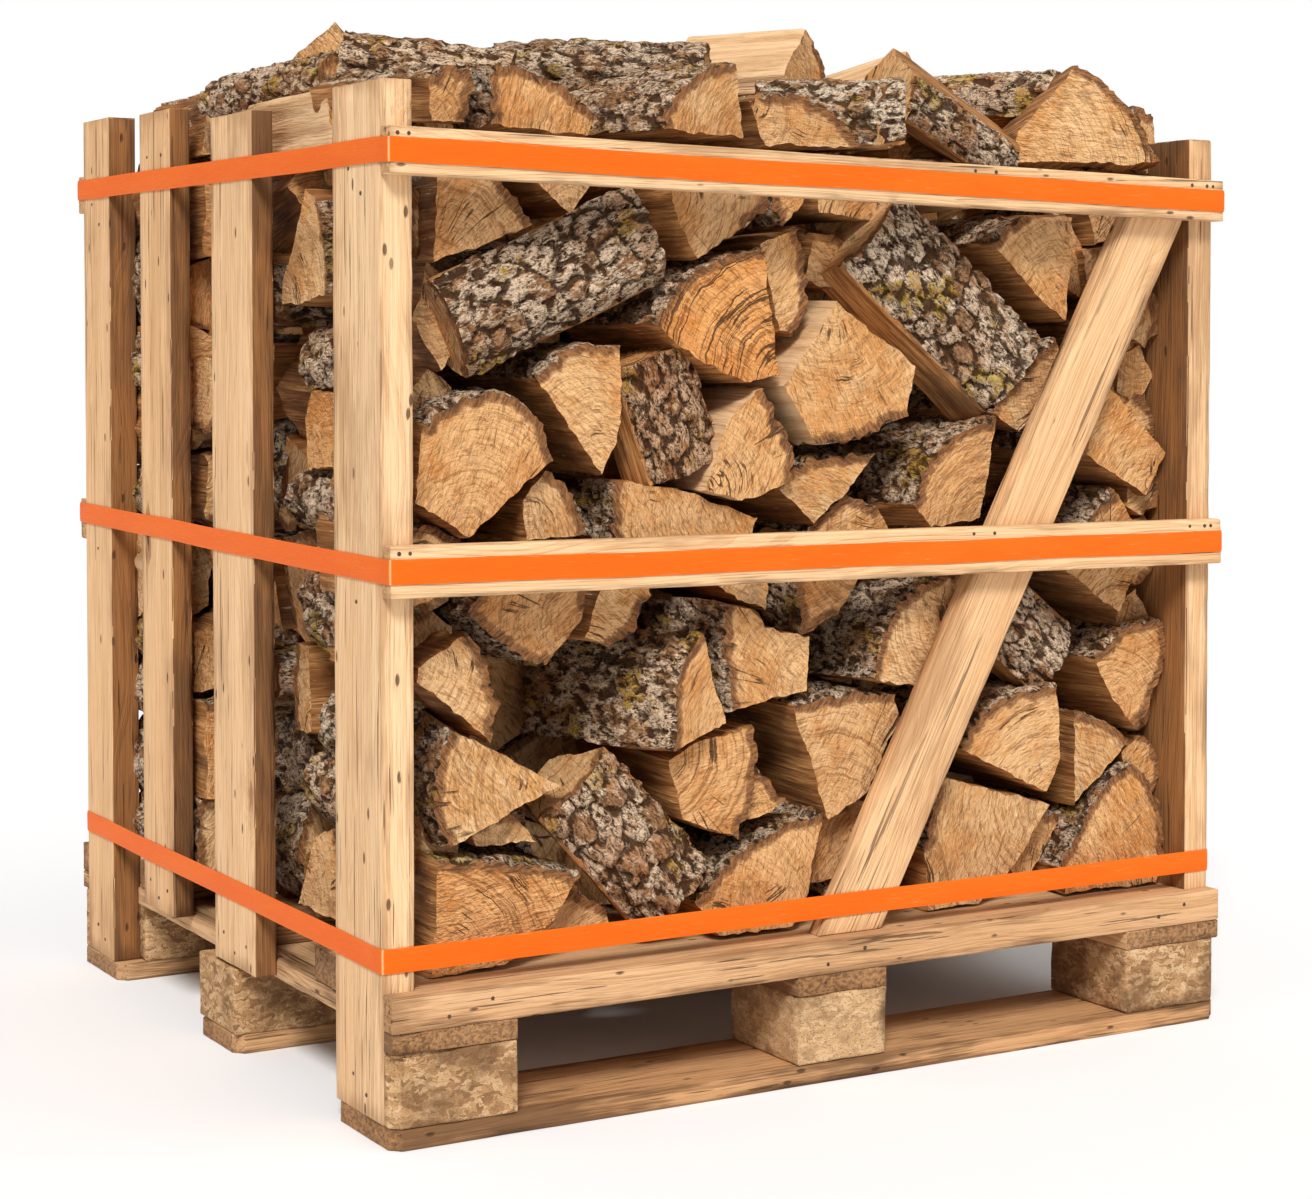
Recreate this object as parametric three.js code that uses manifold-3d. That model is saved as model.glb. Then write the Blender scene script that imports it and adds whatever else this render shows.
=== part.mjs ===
// A slatted firewood crate on a block pallet, filled with split logs and held by three flat bands.
// Millimetres. +X runs to the right along the front, +Y to the rear, +Z up.
// The origin is on the floor, under the middle of the crate.
import * as THREE from 'three';
import { mergeVertices } from 'three/addons/utils/BufferGeometryUtils.js';
import Module from 'manifold-3d';

const wasm = await Module();
wasm.setup();

// ---- driving dimensions ----
const HALF_WIDTH = 555;
const HALF_DEPTH = 500;
const FIT = 0.3;              // air left between pieces that touch
const BOARD = 22;             // sawn board thickness
const BLOCK_HEIGHT = 78;
const BLOCK_SIDE = 145;
const MIDDLE_BLOCK = 120;
const DECK_BOARD = 38;
const DECK_WIDTH = 122;
const INNER_DECK_WIDTH = 110;
const CHAMFER = 12;
const POST_THICK = 36;
const POST_TOP = 1100;
const SLAT_THICK = 26;
const RAIL_TOP = 1051;
const RAIL_HIGH = 49;
const MIDDLE_RAIL_TOP = 623;
const MIDDLE_RAIL_HIGH = 54;
const BRACE_THICK = 24;
const BRACE_WIDE = 86;        // measured level, along the deck
const BAND_WIDE = 26;
const BAND_THICK = 1.2;
const LOG_LENGTH = 235;
const HEAP_TOP = 1052;

// levels, from the floor up
const BLOCK_BASE = BOARD;
const STRINGER_BASE = BLOCK_BASE + BLOCK_HEIGHT;
const DECK_BASE = STRINGER_BASE + BOARD;
const DECK_TOP = DECK_BASE + DECK_BOARD;

// The front and rear rails stand one board thickness proud of the corner posts.
const POST_FACE = HALF_DEPTH - BOARD;
const POST_BACK = 355;
const LOG_FRONT = POST_FACE - BRACE_THICK - 3;

const crate = new THREE.Group();

// ---- finishes ----
const sawnPine = { color: 0xd9ae78, roughness: 0.78, metalness: 0 };
const oldPine = { color: 0xc99a63, roughness: 0.82, metalness: 0 };
const pressedChips = { color: 0xa9814f, roughness: 0.9, metalness: 0 };
const orangeBand = { color: 0xee6a1f, roughness: 0.45, metalness: 0 };
const splitWood = { color: 0xc8955c, roughness: 0.85, metalness: 0 };
const heapWood = { color: 0x8f7355, roughness: 0.9, metalness: 0 };

function add(name, geometry, finish, position = [0, 0, 0]) {
  const mesh = new THREE.Mesh(geometry, new THREE.MeshStandardMaterial(finish));
  mesh.name = name;
  mesh.position.set(...position);
  crate.add(mesh);
  return mesh;
}

function shapeOf(points) {
  return new THREE.Shape(points.map(([a, b]) => new THREE.Vector2(a, b)));
}

// An outline drawn in plan (X, Y) and raised from zero by the given height.
function planPrism(points, height) {
  return new THREE.ExtrudeGeometry(shapeOf(points), { depth: height, bevelEnabled: false });
}

// An outline drawn in front view (X, Z), running from the given front face to the rear.
function frontPrism(points, front, deep) {
  const geometry = new THREE.ExtrudeGeometry(shapeOf(points), { depth: deep, bevelEnabled: false });
  geometry.rotateX(Math.PI / 2);
  geometry.translate(0, front + deep, 0);
  return geometry;
}

function box(x0, x1, y0, y1, z0, z1) {
  const geometry = new THREE.BoxGeometry(x1 - x0, y1 - y0, z1 - z0);
  geometry.translate((x0 + x1) / 2, (y0 + y1) / 2, (z0 + z1) / 2);
  return geometry;
}

// Leans a level piece so that its height changes evenly across the crate and front to rear.
function lean(geometry, perWidth, perDepth) {
  const matrix = new THREE.Matrix4().set(
    1, 0, 0, 0,
    0, 1, 0, 0,
    perWidth, perDepth, 1, 0,
    0, 0, 0, 1,
  );
  return geometry.applyMatrix4(matrix);
}

// ---- pallet: three bottom boards with their outer corners cut off ----
function bottomBoard(name, y0, y1) {
  const w = HALF_WIDTH;
  const c = CHAMFER;
  const outline = [
    [-w + c, y0], [w - c, y0], [w, y0 + c], [w, y1 - c],
    [w - c, y1], [-w + c, y1], [-w, y1 - c], [-w, y0 + c],
  ];
  add(name, planPrism(outline, BOARD), oldPine);
}
bottomBoard('bottom_board_front', -HALF_DEPTH, -HALF_DEPTH + BLOCK_SIDE);
bottomBoard('bottom_board_middle', -MIDDLE_BLOCK / 2, MIDDLE_BLOCK / 2);
bottomBoard('bottom_board_rear', HALF_DEPTH - BLOCK_SIDE, HALF_DEPTH);

// ---- pallet: nine pressed-chip blocks, the corner ones notched round the corner posts ----
// A corner block seen from above, for the front left corner; sx and sy mirror it to the others.
function cornerOutline(sx, sy, innerX, innerY) {
  const outer = HALF_WIDTH;
  const notchX = HALF_WIDTH - POST_THICK - FIT;
  const notchY = POST_FACE + FIT;
  const c = CHAMFER;
  const leftFront = [
    [outer - c, HALF_DEPTH], [outer, HALF_DEPTH - c], [outer, notchY],
    [notchX, notchY], [notchX, innerY], [innerX, innerY], [innerX, HALF_DEPTH],
  ];
  return leftFront.map(([x, y]) => [sx * x, sy * y]);
}

const blockInner = HALF_WIDTH - BLOCK_SIDE;
const blockTall = BLOCK_HEIGHT - 2 * FIT;
for (const [side, sx] of [['left', -1], ['right', 1]]) {
  for (const [end, sy] of [['front', -1], ['rear', 1]]) {
    const outline = cornerOutline(sx, sy, blockInner, HALF_DEPTH - BLOCK_SIDE);
    add(`block_${end}_${side}`, planPrism(outline, blockTall), pressedChips, [0, 0, BLOCK_BASE + FIT]);
  }
  const nearX = Math.min(sx * HALF_WIDTH, sx * blockInner);
  const block = box(nearX, nearX + BLOCK_SIDE, -MIDDLE_BLOCK / 2, MIDDLE_BLOCK / 2, 0, blockTall);
  add(`block_middle_${side}`, block, pressedChips, [0, 0, BLOCK_BASE + FIT]);
}
for (const [end, y0, y1] of [
  ['front', -HALF_DEPTH, -HALF_DEPTH + BLOCK_SIDE],
  ['middle', -MIDDLE_BLOCK / 2, MIDDLE_BLOCK / 2],
  ['rear', HALF_DEPTH - BLOCK_SIDE, HALF_DEPTH],
]) {
  const block = box(-MIDDLE_BLOCK / 2, MIDDLE_BLOCK / 2, y0, y1, 0, blockTall);
  add(`block_${end}_centre`, block, pressedChips, [0, 0, BLOCK_BASE + FIT]);
}

// ---- pallet: three stringer boards lying on the blocks, front to rear ----
// The outer two are cut back along the side, so that the slats hang outside them.
const stringerEdge = HALF_WIDTH - SLAT_THICK - FIT;
const stringerTall = BOARD - FIT;
for (const [side, sx] of [['left', -1], ['right', 1]]) {
  const notchX = HALF_WIDTH - POST_THICK - FIT;
  const postEnd = POST_BACK - FIT;
  const postFront = POST_FACE + FIT;
  const half = [
    [HALF_WIDTH, HALF_DEPTH], [HALF_WIDTH, postFront], [notchX, postFront],
    [notchX, postEnd], [stringerEdge, postEnd],
  ];
  const outline = [
    ...half,
    ...half.map(([x, y]) => [x, -y]).reverse(),
    [blockInner, -HALF_DEPTH],
    [blockInner, HALF_DEPTH],
  ].map(([x, y]) => [sx * x, y]);
  add(`stringer_${side}`, planPrism(outline, stringerTall), oldPine, [0, 0, STRINGER_BASE]);
}
add(
  'stringer_centre',
  box(-MIDDLE_BLOCK / 2, MIDDLE_BLOCK / 2, -HALF_DEPTH, HALF_DEPTH, 0, stringerTall),
  oldPine,
  [0, 0, STRINGER_BASE],
);

// ---- pallet: five deck boards across the stringers ----
const deckTall = DECK_BOARD - FIT;
for (const [end, sy] of [['front', -1], ['rear', 1]]) {
  const notchX = HALF_WIDTH - POST_THICK - FIT;
  const w = HALF_WIDTH;
  const outline = [
    [-w, HALF_DEPTH], [-w, POST_FACE + FIT], [-notchX, POST_FACE + FIT],
    [-notchX, HALF_DEPTH - DECK_WIDTH], [notchX, HALF_DEPTH - DECK_WIDTH],
    [notchX, POST_FACE + FIT], [w, POST_FACE + FIT], [w, HALF_DEPTH],
  ].map(([x, y]) => [x, sy * y]);
  add(`deck_board_${end}`, planPrism(outline, deckTall), sawnPine, [0, 0, DECK_BASE]);
}
const innerDeckStep = 290;
for (const [name, step] of [['front_inner', -1], ['middle', 0], ['rear_inner', 1]]) {
  const y0 = step * innerDeckStep - INNER_DECK_WIDTH / 2;
  const board = box(-stringerEdge, stringerEdge, y0, y0 + INNER_DECK_WIDTH, 0, deckTall);
  add(`deck_board_${name}`, board, oldPine, [0, 0, DECK_BASE]);
}

// ---- crate: four corner posts standing on the ends of the bottom boards ----
for (const [name, sx, sy, top, back] of [
  ['front_left', -1, -1, POST_TOP, POST_BACK],
  ['front_right', 1, -1, POST_TOP - 22, POST_BACK],
  ['rear_left', -1, 1, POST_TOP + 22, POST_BACK + 20],
  ['rear_right', 1, 1, POST_TOP, POST_BACK + 20],
]) {
  const x0 = Math.min(sx * HALF_WIDTH, sx * (HALF_WIDTH - POST_THICK));
  const y0 = Math.min(sy * POST_FACE, sy * back);
  const post = box(x0, x0 + POST_THICK, y0, y0 + POST_FACE - back, BLOCK_BASE + FIT, top);
  add(`post_${name}`, post, sawnPine);
}

// ---- crate: two upright slats at each end, nailed over the stringers ----
for (const [side, sx, drop] of [['left', -1, 0], ['right', 1, -20]]) {
  const x0 = Math.min(sx * HALF_WIDTH, sx * (HALF_WIDTH - SLAT_THICK));
  for (const [name, y0, y1, bottom, top] of [
    ['near', -124, 6, 104, 1094],
    ['far', 146, 256, 122, 1116],
  ]) {
    add(`slat_${side}_${name}`, box(x0, x0 + SLAT_THICK, y0, y1, bottom, top + drop), sawnPine);
  }
}

// ---- crate: top and middle rails nailed across the front and the rear of the posts ----
const topRailFall = -24 / (2 * HALF_WIDTH);
const middleRailFall = -8 / (2 * HALF_WIDTH);
for (const [end, y0] of [['front', -HALF_DEPTH], ['rear', POST_FACE + FIT]]) {
  const y1 = y0 + BOARD - FIT;
  const w = HALF_WIDTH;
  const top = box(-w, w, y0, y1, RAIL_TOP - RAIL_HIGH, RAIL_TOP);
  lean(top, topRailFall, 0);
  top.translate(0, 0, topRailFall * w);
  add(`rail_top_${end}`, top, sawnPine);
  const middle = box(-w, w, y0, y1, MIDDLE_RAIL_TOP - MIDDLE_RAIL_HIGH, MIDDLE_RAIL_TOP);
  lean(middle, middleRailFall, 0);
  middle.translate(0, 0, middleRailFall * w);
  add(`rail_middle_${end}`, middle, sawnPine);
}

// ---- crate: one diagonal brace behind the rails at the front, and one at the rear ----
const braceFoot = -18;
const braceHead = 450;
const braceHeadLevel = 1024;
for (const [end, sx, front] of [
  ['front', 1, -POST_FACE + FIT],
  ['rear', -1, POST_FACE - FIT - BRACE_THICK],
]) {
  const outline = [
    [braceFoot, DECK_TOP], [braceFoot + BRACE_WIDE, DECK_TOP],
    [braceHead + BRACE_WIDE * 0.78, braceHeadLevel - 31], [braceHead + BRACE_WIDE * 0.58, braceHeadLevel],
    [braceHead - 4, braceHeadLevel],
  ].map(([x, z]) => [sx * x, z]);
  add(`brace_${end}`, frontPrism(outline, front, BRACE_THICK), sawnPine);
}

// ---- three flat bands round the whole crate ----
// The two upper bands lie over the rails, the lower one lies on the posts themselves.
function band(name, base, halfDepth, fallRight, riseRear) {
  const r = 3;
  const ring = (w, d, radius) => {
    const path = new THREE.Path();
    path.moveTo(w, -d + radius);
    path.lineTo(w, d - radius);
    path.absarc(w - radius, d - radius, radius, 0, Math.PI / 2);
    path.lineTo(-w + radius, d);
    path.absarc(-w + radius, d - radius, radius, Math.PI / 2, Math.PI);
    path.lineTo(-w, -d + radius);
    path.absarc(-w + radius, -d + radius, radius, Math.PI, 1.5 * Math.PI);
    path.lineTo(w - radius, -d);
    path.absarc(w - radius, -d + radius, radius, 1.5 * Math.PI, 2 * Math.PI);
    return path.getPoints(3);
  };
  const innerW = HALF_WIDTH + 2 * FIT;
  const innerD = halfDepth + 2 * FIT;
  const shape = new THREE.Shape(ring(innerW + BAND_THICK, innerD + BAND_THICK, r + BAND_THICK));
  shape.holes.push(new THREE.Path(ring(innerW, innerD, 0.5)));
  const geometry = new THREE.ExtrudeGeometry(shape, { depth: BAND_WIDE, bevelEnabled: false });
  const perWidth = -fallRight / (2 * HALF_WIDTH);
  const perDepth = riseRear / (2 * HALF_DEPTH);
  lean(geometry, perWidth, perDepth);
  geometry.translate(0, 0, base - fallRight / 2 + riseRear / 2);
  add(name, geometry, orangeBand);
}
band('band_top', 1014, HALF_DEPTH, 24, 6);
band('band_middle', 583, HALF_DEPTH, 8, 8);
band('band_bottom', 180, POST_FACE, 0, 0);

// ---- split logs ----
// A log's section is drawn as its bark, a smooth run of points, and the corners of its split faces.
function logSection(bark, split) {
  const curve = new THREE.SplineCurve(bark.map(([a, b]) => new THREE.Vector2(a, b)));
  const round = bark.length > 1 ? curve.getPoints(9) : [];
  return new THREE.Shape([...round, ...split.map(([a, b]) => new THREE.Vector2(a, b))]);
}

// A log whose end faces the front. yaw swings its far end to the left.
function endOnLog(name, front, bark, split, yaw = 0, length = LOG_LENGTH) {
  const settings = { depth: length, bevelEnabled: false };
  const geometry = new THREE.ExtrudeGeometry(logSection(bark, split), settings);
  geometry.rotateX(Math.PI / 2);
  geometry.translate(0, length, 0);
  geometry.computeBoundingBox();
  const hinge = geometry.boundingBox.max.x;
  geometry.translate(-hinge, 0, 0);
  geometry.rotateZ(THREE.MathUtils.degToRad(yaw));
  geometry.translate(hinge, -LOG_FRONT + front, 0);
  return add(name, geometry, splitWood);
}

// A log lying across the front. Its section is drawn as (up across the log, depth behind the front).
function lyingLog(name, front, centre, angle, length, bark, split) {
  const settings = { depth: length, bevelEnabled: false };
  const geometry = new THREE.ExtrudeGeometry(logSection(bark, split), settings);
  geometry.translate(0, 0, -length / 2);
  const turn = THREE.MathUtils.degToRad(angle);
  const along = new THREE.Vector3(Math.cos(turn), 0, Math.sin(turn));
  const across = new THREE.Vector3(-Math.sin(turn), 0, Math.cos(turn));
  const matrix = new THREE.Matrix4().makeBasis(across, new THREE.Vector3(0, 1, 0), along.negate());
  geometry.applyMatrix4(matrix);
  geometry.translate(centre[0], -LOG_FRONT + front, centre[1]);
  return add(name, geometry, splitWood);
}

const ownLogs = [
  lyingLog('log_bark_upper_left', 2, [-333, 899], 24, 262,
    [[58, 22], [35, 4], [0, 0], [-38, 6], [-60, 28]], [[-20, 118], [24, 112]]),
  endOnLog('log_ringed_quarter', 4,
    [[-215, 851], [-178, 900], [-128, 924], [-74, 936]], [[-50, 792], [-97, 788], [-155, 810]]),
  endOnLog('log_left_middle', 8,
    [[-338, 703], [-352, 748], [-395, 778], [-450, 772], [-491, 746]], [[-500, 662], [-437, 625]]),
  endOnLog('log_pale_centre', 4,
    [[-1, 714], [40, 716], [85, 727], [125, 745]], [[138, 803], [26, 877], [-47, 781]]),
  lyingLog('log_bark_upper_right', 2, [190, 880], -39.5, 268,
    [[58, 20], [32, 3], [0, 0], [-35, 5], [-61, 26]], [[-78, 72], [38, 104]]),
  endOnLog('log_upper_right', 10,
    [[246, 948], [268, 968], [300, 983]], [[372, 982], [362, 855], [300, 898]]),
  endOnLog('log_right_middle', 8,
    [[383, 698], [386, 750], [408, 794]], [[516, 694], [486, 640]]),
  endOnLog('log_bark_left_centre', 6,
    [[-212, 382], [-206, 448], [-190, 490], [-160, 509]], [[-122, 405]], 18),
  endOnLog('log_wedge_left', 4,
    [[-461, 426], [-480, 385], [-483, 340], [-468, 298]], [[-328, 353]]),
  endOnLog('log_bottom_left', 6,
    [[-476, 289], [-420, 284], [-360, 274], [-299, 257]], [[-340, 205], [-395, 165], [-485, 162]]),
  lyingLog('log_bark_lower_centre', 3, [-238, 283], -47, 190,
    [[56, 22], [30, 4], [0, 0], [-34, 5], [-58, 24]], [[-40, 100], [20, 110]]),
  endOnLog('log_centre_low', 12,
    [[-77, 401], [-73, 360], [-82, 312], [-101, 273]], [[-176, 301], [-192, 370], [-160, 386]]),
  endOnLog('log_beside_brace', 8,
    [[-32, 424], [20, 431], [72, 430], [112, 424]], [[117, 396], [75, 312], [18, 283]]),
  endOnLog('log_quarter_right', 6,
    [[200, 352], [222, 388], [270, 412], [346, 421]], [[350, 330], [330, 290]]),
  endOnLog('log_bottom_right', 6,
    [[351, 195], [390, 258], [459, 315], [508, 262], [516, 196]], [[500, 163], [360, 163]]),
  endOnLog('log_top_left', 12,
    [[-280, 1074], [-313, 1100], [-355, 1119], [-414, 1127]], [[-413, 1060], [-296, 1057]]),
  endOnLog('log_top_bark', 8,
    [[-228, 1060], [-216, 1092], [-186, 1118], [-150, 1135], [-110, 1143]], [[-97, 1057]], 14),
  endOnLog('log_top_middle', 10,
    [[53, 1057], [30, 1072], [3, 1090], [-38, 1106], [-74, 1098]], [[-73, 1057]]),
  endOnLog('log_top_wedge', 20,
    [[82, 1104], [95, 1131]], [[147, 1112], [108, 1057], [86, 1057]], 8),
  lyingLog('log_top_leaning', 14, [220, 1092], -14, 150,
    [[26, 45], [20, 16], [0, 4], [-26, 6]], [[-34, 60], [-26, 130], [60, 125]]),
  endOnLog('log_top_quarter', 30,
    [[376, 1165], [422, 1142], [461, 1102], [486, 1057]], [[388, 1057], [308, 1066], [300, 1084]]),
];

// ---- the rest of the heap: solids that reach the tips of the smaller logs ----
function toManifold(geometry) {
  const bare = geometry.clone();
  bare.deleteAttribute('normal');
  bare.deleteAttribute('uv');
  const merged = mergeVertices(bare.index ? bare.toNonIndexed() : bare, 1e-4);
  return new wasm.Manifold(new wasm.Mesh({
    numProp: 3,
    vertProperties: new Float32Array(merged.attributes.position.array),
    triVerts: new Uint32Array(merged.index.array),
  }));
}

function fromManifold(solid) {
  const mesh = solid.getMesh();
  const geometry = new THREE.BufferGeometry();
  geometry.setAttribute('position', new THREE.BufferAttribute(mesh.vertProperties, 3));
  geometry.setIndex(new THREE.BufferAttribute(mesh.triVerts, 1));
  return geometry;
}

// A log grown by the given gap on every side, so that what it is cut from clears it.
function grown(geometry, gap) {
  const copy = geometry.clone();
  copy.computeBoundingBox();
  const centre = copy.boundingBox.getCenter(new THREE.Vector3());
  const size = copy.boundingBox.getSize(new THREE.Vector3());
  copy.translate(-centre.x, -centre.y, -centre.z);
  copy.scale(1 + 2 * gap / size.x, 1 + 2 * gap / size.y, 1 + 2 * gap / size.z);
  copy.translate(centre.x, centre.y, centre.z);
  return copy;
}

function cutByLogs(geometry) {
  let solid = toManifold(geometry);
  for (const log of ownLogs) {
    solid = solid.subtract(toManifold(grown(log.geometry, 1.5)));
  }
  return fromManifold(solid);
}

const heapSide = HALF_WIDTH - POST_THICK - 2;
const insideHeap = box(-heapSide, heapSide, -LOG_FRONT + 60, LOG_FRONT - 2, DECK_TOP + FIT, HEAP_TOP);
add('logs_inside', cutByLogs(insideHeap), heapWood);

const moundOutline = [
  [-508, HEAP_TOP + 2], [508, HEAP_TOP + 2], [500, 1096], [330, 1156], [60, 1196],
  [-150, 1192], [-330, 1168], [-500, 1126],
];
const mound = frontPrism(moundOutline, -LOG_FRONT + 262, 2 * LOG_FRONT - 300);
add('logs_on_top', cutByLogs(mound), heapWood);

export default crate;
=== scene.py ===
import math

import bmesh
import bpy
import numpy as np
from mathutils import Matrix, Vector


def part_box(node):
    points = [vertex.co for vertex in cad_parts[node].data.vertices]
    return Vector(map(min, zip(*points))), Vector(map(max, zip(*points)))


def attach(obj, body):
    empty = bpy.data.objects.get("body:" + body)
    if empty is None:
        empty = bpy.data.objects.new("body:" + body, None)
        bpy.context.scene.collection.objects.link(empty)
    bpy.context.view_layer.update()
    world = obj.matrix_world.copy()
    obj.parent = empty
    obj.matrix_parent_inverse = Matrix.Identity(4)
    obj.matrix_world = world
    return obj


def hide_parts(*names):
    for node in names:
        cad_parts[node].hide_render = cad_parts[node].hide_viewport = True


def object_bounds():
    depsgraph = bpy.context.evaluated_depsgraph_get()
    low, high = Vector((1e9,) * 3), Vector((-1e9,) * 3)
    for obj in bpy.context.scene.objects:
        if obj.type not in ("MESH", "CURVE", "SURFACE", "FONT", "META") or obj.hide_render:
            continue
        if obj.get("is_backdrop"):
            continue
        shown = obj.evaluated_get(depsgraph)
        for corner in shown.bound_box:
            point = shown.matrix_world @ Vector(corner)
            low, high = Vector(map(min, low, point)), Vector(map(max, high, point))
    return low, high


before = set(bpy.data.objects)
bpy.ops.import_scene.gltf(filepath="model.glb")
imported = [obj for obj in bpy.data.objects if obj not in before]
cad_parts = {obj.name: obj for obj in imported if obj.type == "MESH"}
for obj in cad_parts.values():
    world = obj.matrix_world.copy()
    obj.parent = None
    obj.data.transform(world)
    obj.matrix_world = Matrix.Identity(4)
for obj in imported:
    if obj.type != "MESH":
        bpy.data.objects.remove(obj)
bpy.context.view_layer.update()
MM = 0.001


# ---- camera ----
# A long lens at about chest height, off the near left corner, tipped a little down so that the
# pallet and the top of the heap are both in view.
lens = bpy.data.cameras.new("camera")
lens.lens = 73.65
lens.sensor_width = 36.0
lens.shift_y = -0.124
camera = bpy.data.objects.new("camera", lens)
camera.location = (-1.682, -2.992, 0.830)
camera.rotation_euler = (math.radians(88.0), 0.0, math.radians(-30.0))
bpy.context.collection.objects.link(camera)
bpy.context.scene.camera = camera


# ---- sawn boards: posts, slats, rails, braces and the pallet's boards ----
# Rough sawn pine, nailed together. The saw leaves fine ridges along the grain, handling rounds
# the edges, and here and there an edge is knocked off. The pallet's own boards are older.
def chance(i, j, k, seed):
    """A fixed random number from 0 to 1 for each whole-number place."""
    n = (
        i.astype(np.uint64) * np.uint64(374761393)
        + j.astype(np.uint64) * np.uint64(668265263)
        + k.astype(np.uint64) * np.uint64(1274126177)
        + np.uint64(seed * 982451653 + 97)
    )
    for shift, factor in ((13, 1103515245), (16, 2654435769), (15, 1)):
        n = n & np.uint64(0xFFFFFFFF)
        n = (n ^ (n >> np.uint64(shift))) * np.uint64(factor)
    return (n & np.uint64(0xFFFFFFFF)) / 4294967296.0


def lumps(places, seed):
    """Smooth noise from -1 to 1 with about one lump to each unit of length."""
    base = np.floor(places).astype(np.int64)
    part = places - base
    part = part * part * (3 - 2 * part)
    total = np.zeros(len(places))
    for corner in range(8):
        bits = np.array([corner & 1, corner >> 1 & 1, corner >> 2 & 1])
        weight = np.where(bits, part, 1 - part).prod(axis=1)
        at = base + bits
        total += weight * chance(at[:, 0], at[:, 1], at[:, 2], seed)
    return total * 2 - 1


def add_numbers(mesh, name, kind, domain, values):
    """Stores a number or a vector for each point or face corner, for the materials to read."""
    layer = mesh.attributes.new(name, kind, domain)
    key = "vector" if kind == "FLOAT_VECTOR" else "value"
    layer.data.foreach_set(key, np.asarray(values, np.float32).ravel())


def read_vectors(items, key):
    """One vector for each item of a mesh, as rows."""
    values = np.zeros(len(items) * 3, np.float32)
    items.foreach_get(key, values)
    return values.reshape(-1, 3)


def stand_in(name, mesh, nodes):
    """Makes the mesh a piece that rides on the crate, in place of the CAD nodes if any are named."""
    piece = bpy.data.objects.new(name, mesh)
    bpy.context.collection.objects.link(piece)
    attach(piece, "root")
    if nodes:
        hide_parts(*nodes)


def cut_across(work, axis, spacing):
    """Cuts every face with evenly spaced planes across one axis."""
    values = [v.co[axis] for v in work.verts]
    low, high = min(values), max(values)
    count = int((high - low) / spacing)
    for step in range(1, count + 1):
        point = Vector()
        point[axis] = low + (high - low) * step / (count + 1)
        normal = Vector()
        normal[axis] = 1.0
        geometry = work.verts[:] + work.edges[:] + work.faces[:]
        bmesh.ops.bisect_plane(work, geom=geometry, plane_co=point, plane_no=normal, dist=1e-6)


WORN_MARGIN = 0.016
# each next seed gives a tone well away from the last
BOARD_TURN = 0.6180339


def worn_solid(node, turn, spacings, round_by, wear, relief, seed, tone=None):
    """A CAD node's shape with rounded, knocked edges and sawn relief. turn lays the grain along X."""
    work = bmesh.new()
    work.from_mesh(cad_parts[node].data)
    bmesh.ops.remove_doubles(work, verts=work.verts[:], dist=1e-5)
    bmesh.ops.dissolve_limit(
        work, angle_limit=math.radians(1.0), verts=work.verts[:], edges=work.edges[:]
    )
    bmesh.ops.transform(work, matrix=turn, verts=work.verts[:])
    sharp = [e for e in work.edges if e.calc_face_angle(0.0) > math.radians(25.0)]
    bmesh.ops.bevel(
        work, geom=sharp, offset=round_by, segments=2, profile=0.6, affect="EDGES",
        clamp_overlap=True,
    )
    for axis, spacing in enumerate(spacings):
        cut_across(work, axis, spacing)
    bmesh.ops.triangulate(work, faces=[f for f in work.faces if len(f.verts) > 4])
    mesh = bpy.data.meshes.new(node + "_worn")
    work.to_mesh(mesh)
    work.free()

    count = len(mesh.vertices)
    places = read_vectors(mesh.vertices, "co").astype(float)
    normals = read_vectors(mesh.vertex_normals, "vector")
    tilted = 1 - np.abs(normals).max(axis=1)
    fibres = lumps(places * (9, 170, 170), seed)
    swell = lumps(places * (5, 22, 22), seed + 1)
    knock = np.clip(lumps(places * (26, 26, 26), seed + 2) - 0.12, 0, 1)
    push = relief * (0.45 * fibres + 0.8 * swell)
    push -= wear * knock * np.clip(tilted * 5, 0, 1)
    moved = places + normals * push[:, None]
    back = np.array(turn.inverted())
    world = moved @ back[:3, :3].T + back[:3, 3]
    mesh.vertices.foreach_set("co", world.astype(np.float32).ravel())
    middle = (places.max(axis=0) + places.min(axis=0)) / 2
    add_numbers(mesh, "place", "FLOAT_VECTOR", "POINT", places - middle)
    tone = (seed * BOARD_TURN) % 1.0 if tone is None else tone
    add_numbers(mesh, "tone", "FLOAT", "POINT", np.full(count, tone))
    across_grain = np.clip(np.abs(normals[:, 0]) * 2 - 1, 0, 1)
    reach = (places.max(axis=0) - places.min(axis=0)) / 2 - np.abs(places - middle)
    from_edge = np.sort(reach, axis=1)[:, 1]
    add_numbers(mesh, "edge", "FLOAT", "POINT", np.clip(1 - from_edge / WORN_MARGIN, 0, 1))
    add_numbers(mesh, "sawn_end", "FLOAT", "POINT", across_grain)
    mesh.polygons.foreach_set("use_smooth", np.ones(len(mesh.polygons), bool))
    mesh.set_sharp_from_angle(angle=math.radians(40.0))
    mesh.update()
    return mesh


# small helpers for building shader trees
def put(tree, kind, inputs=None, **settings):
    made = tree.nodes.new(kind)
    for key, value in settings.items():
        setattr(made, key, value)
    for key, value in (inputs or {}).items():
        if isinstance(value, bpy.types.NodeSocket):
            tree.links.new(value, made.inputs[key])
        else:
            made.inputs[key].default_value = value
    return made


def calc(tree, operation, *values):
    return put(tree, "ShaderNodeMath", dict(enumerate(values)), operation=operation).outputs[0]


def scaled(tree, vector, factors, shift=0.0):
    """A vector times the factors, moved along all three axes by a number."""
    made = put(tree, "ShaderNodeVectorMath", {0: vector, 1: factors}, operation="MULTIPLY_ADD")
    if isinstance(shift, bpy.types.NodeSocket):
        tree.links.new(shift, made.inputs[2])
    else:
        made.inputs[2].default_value = (shift, shift, shift)
    return made.outputs[0]


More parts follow.
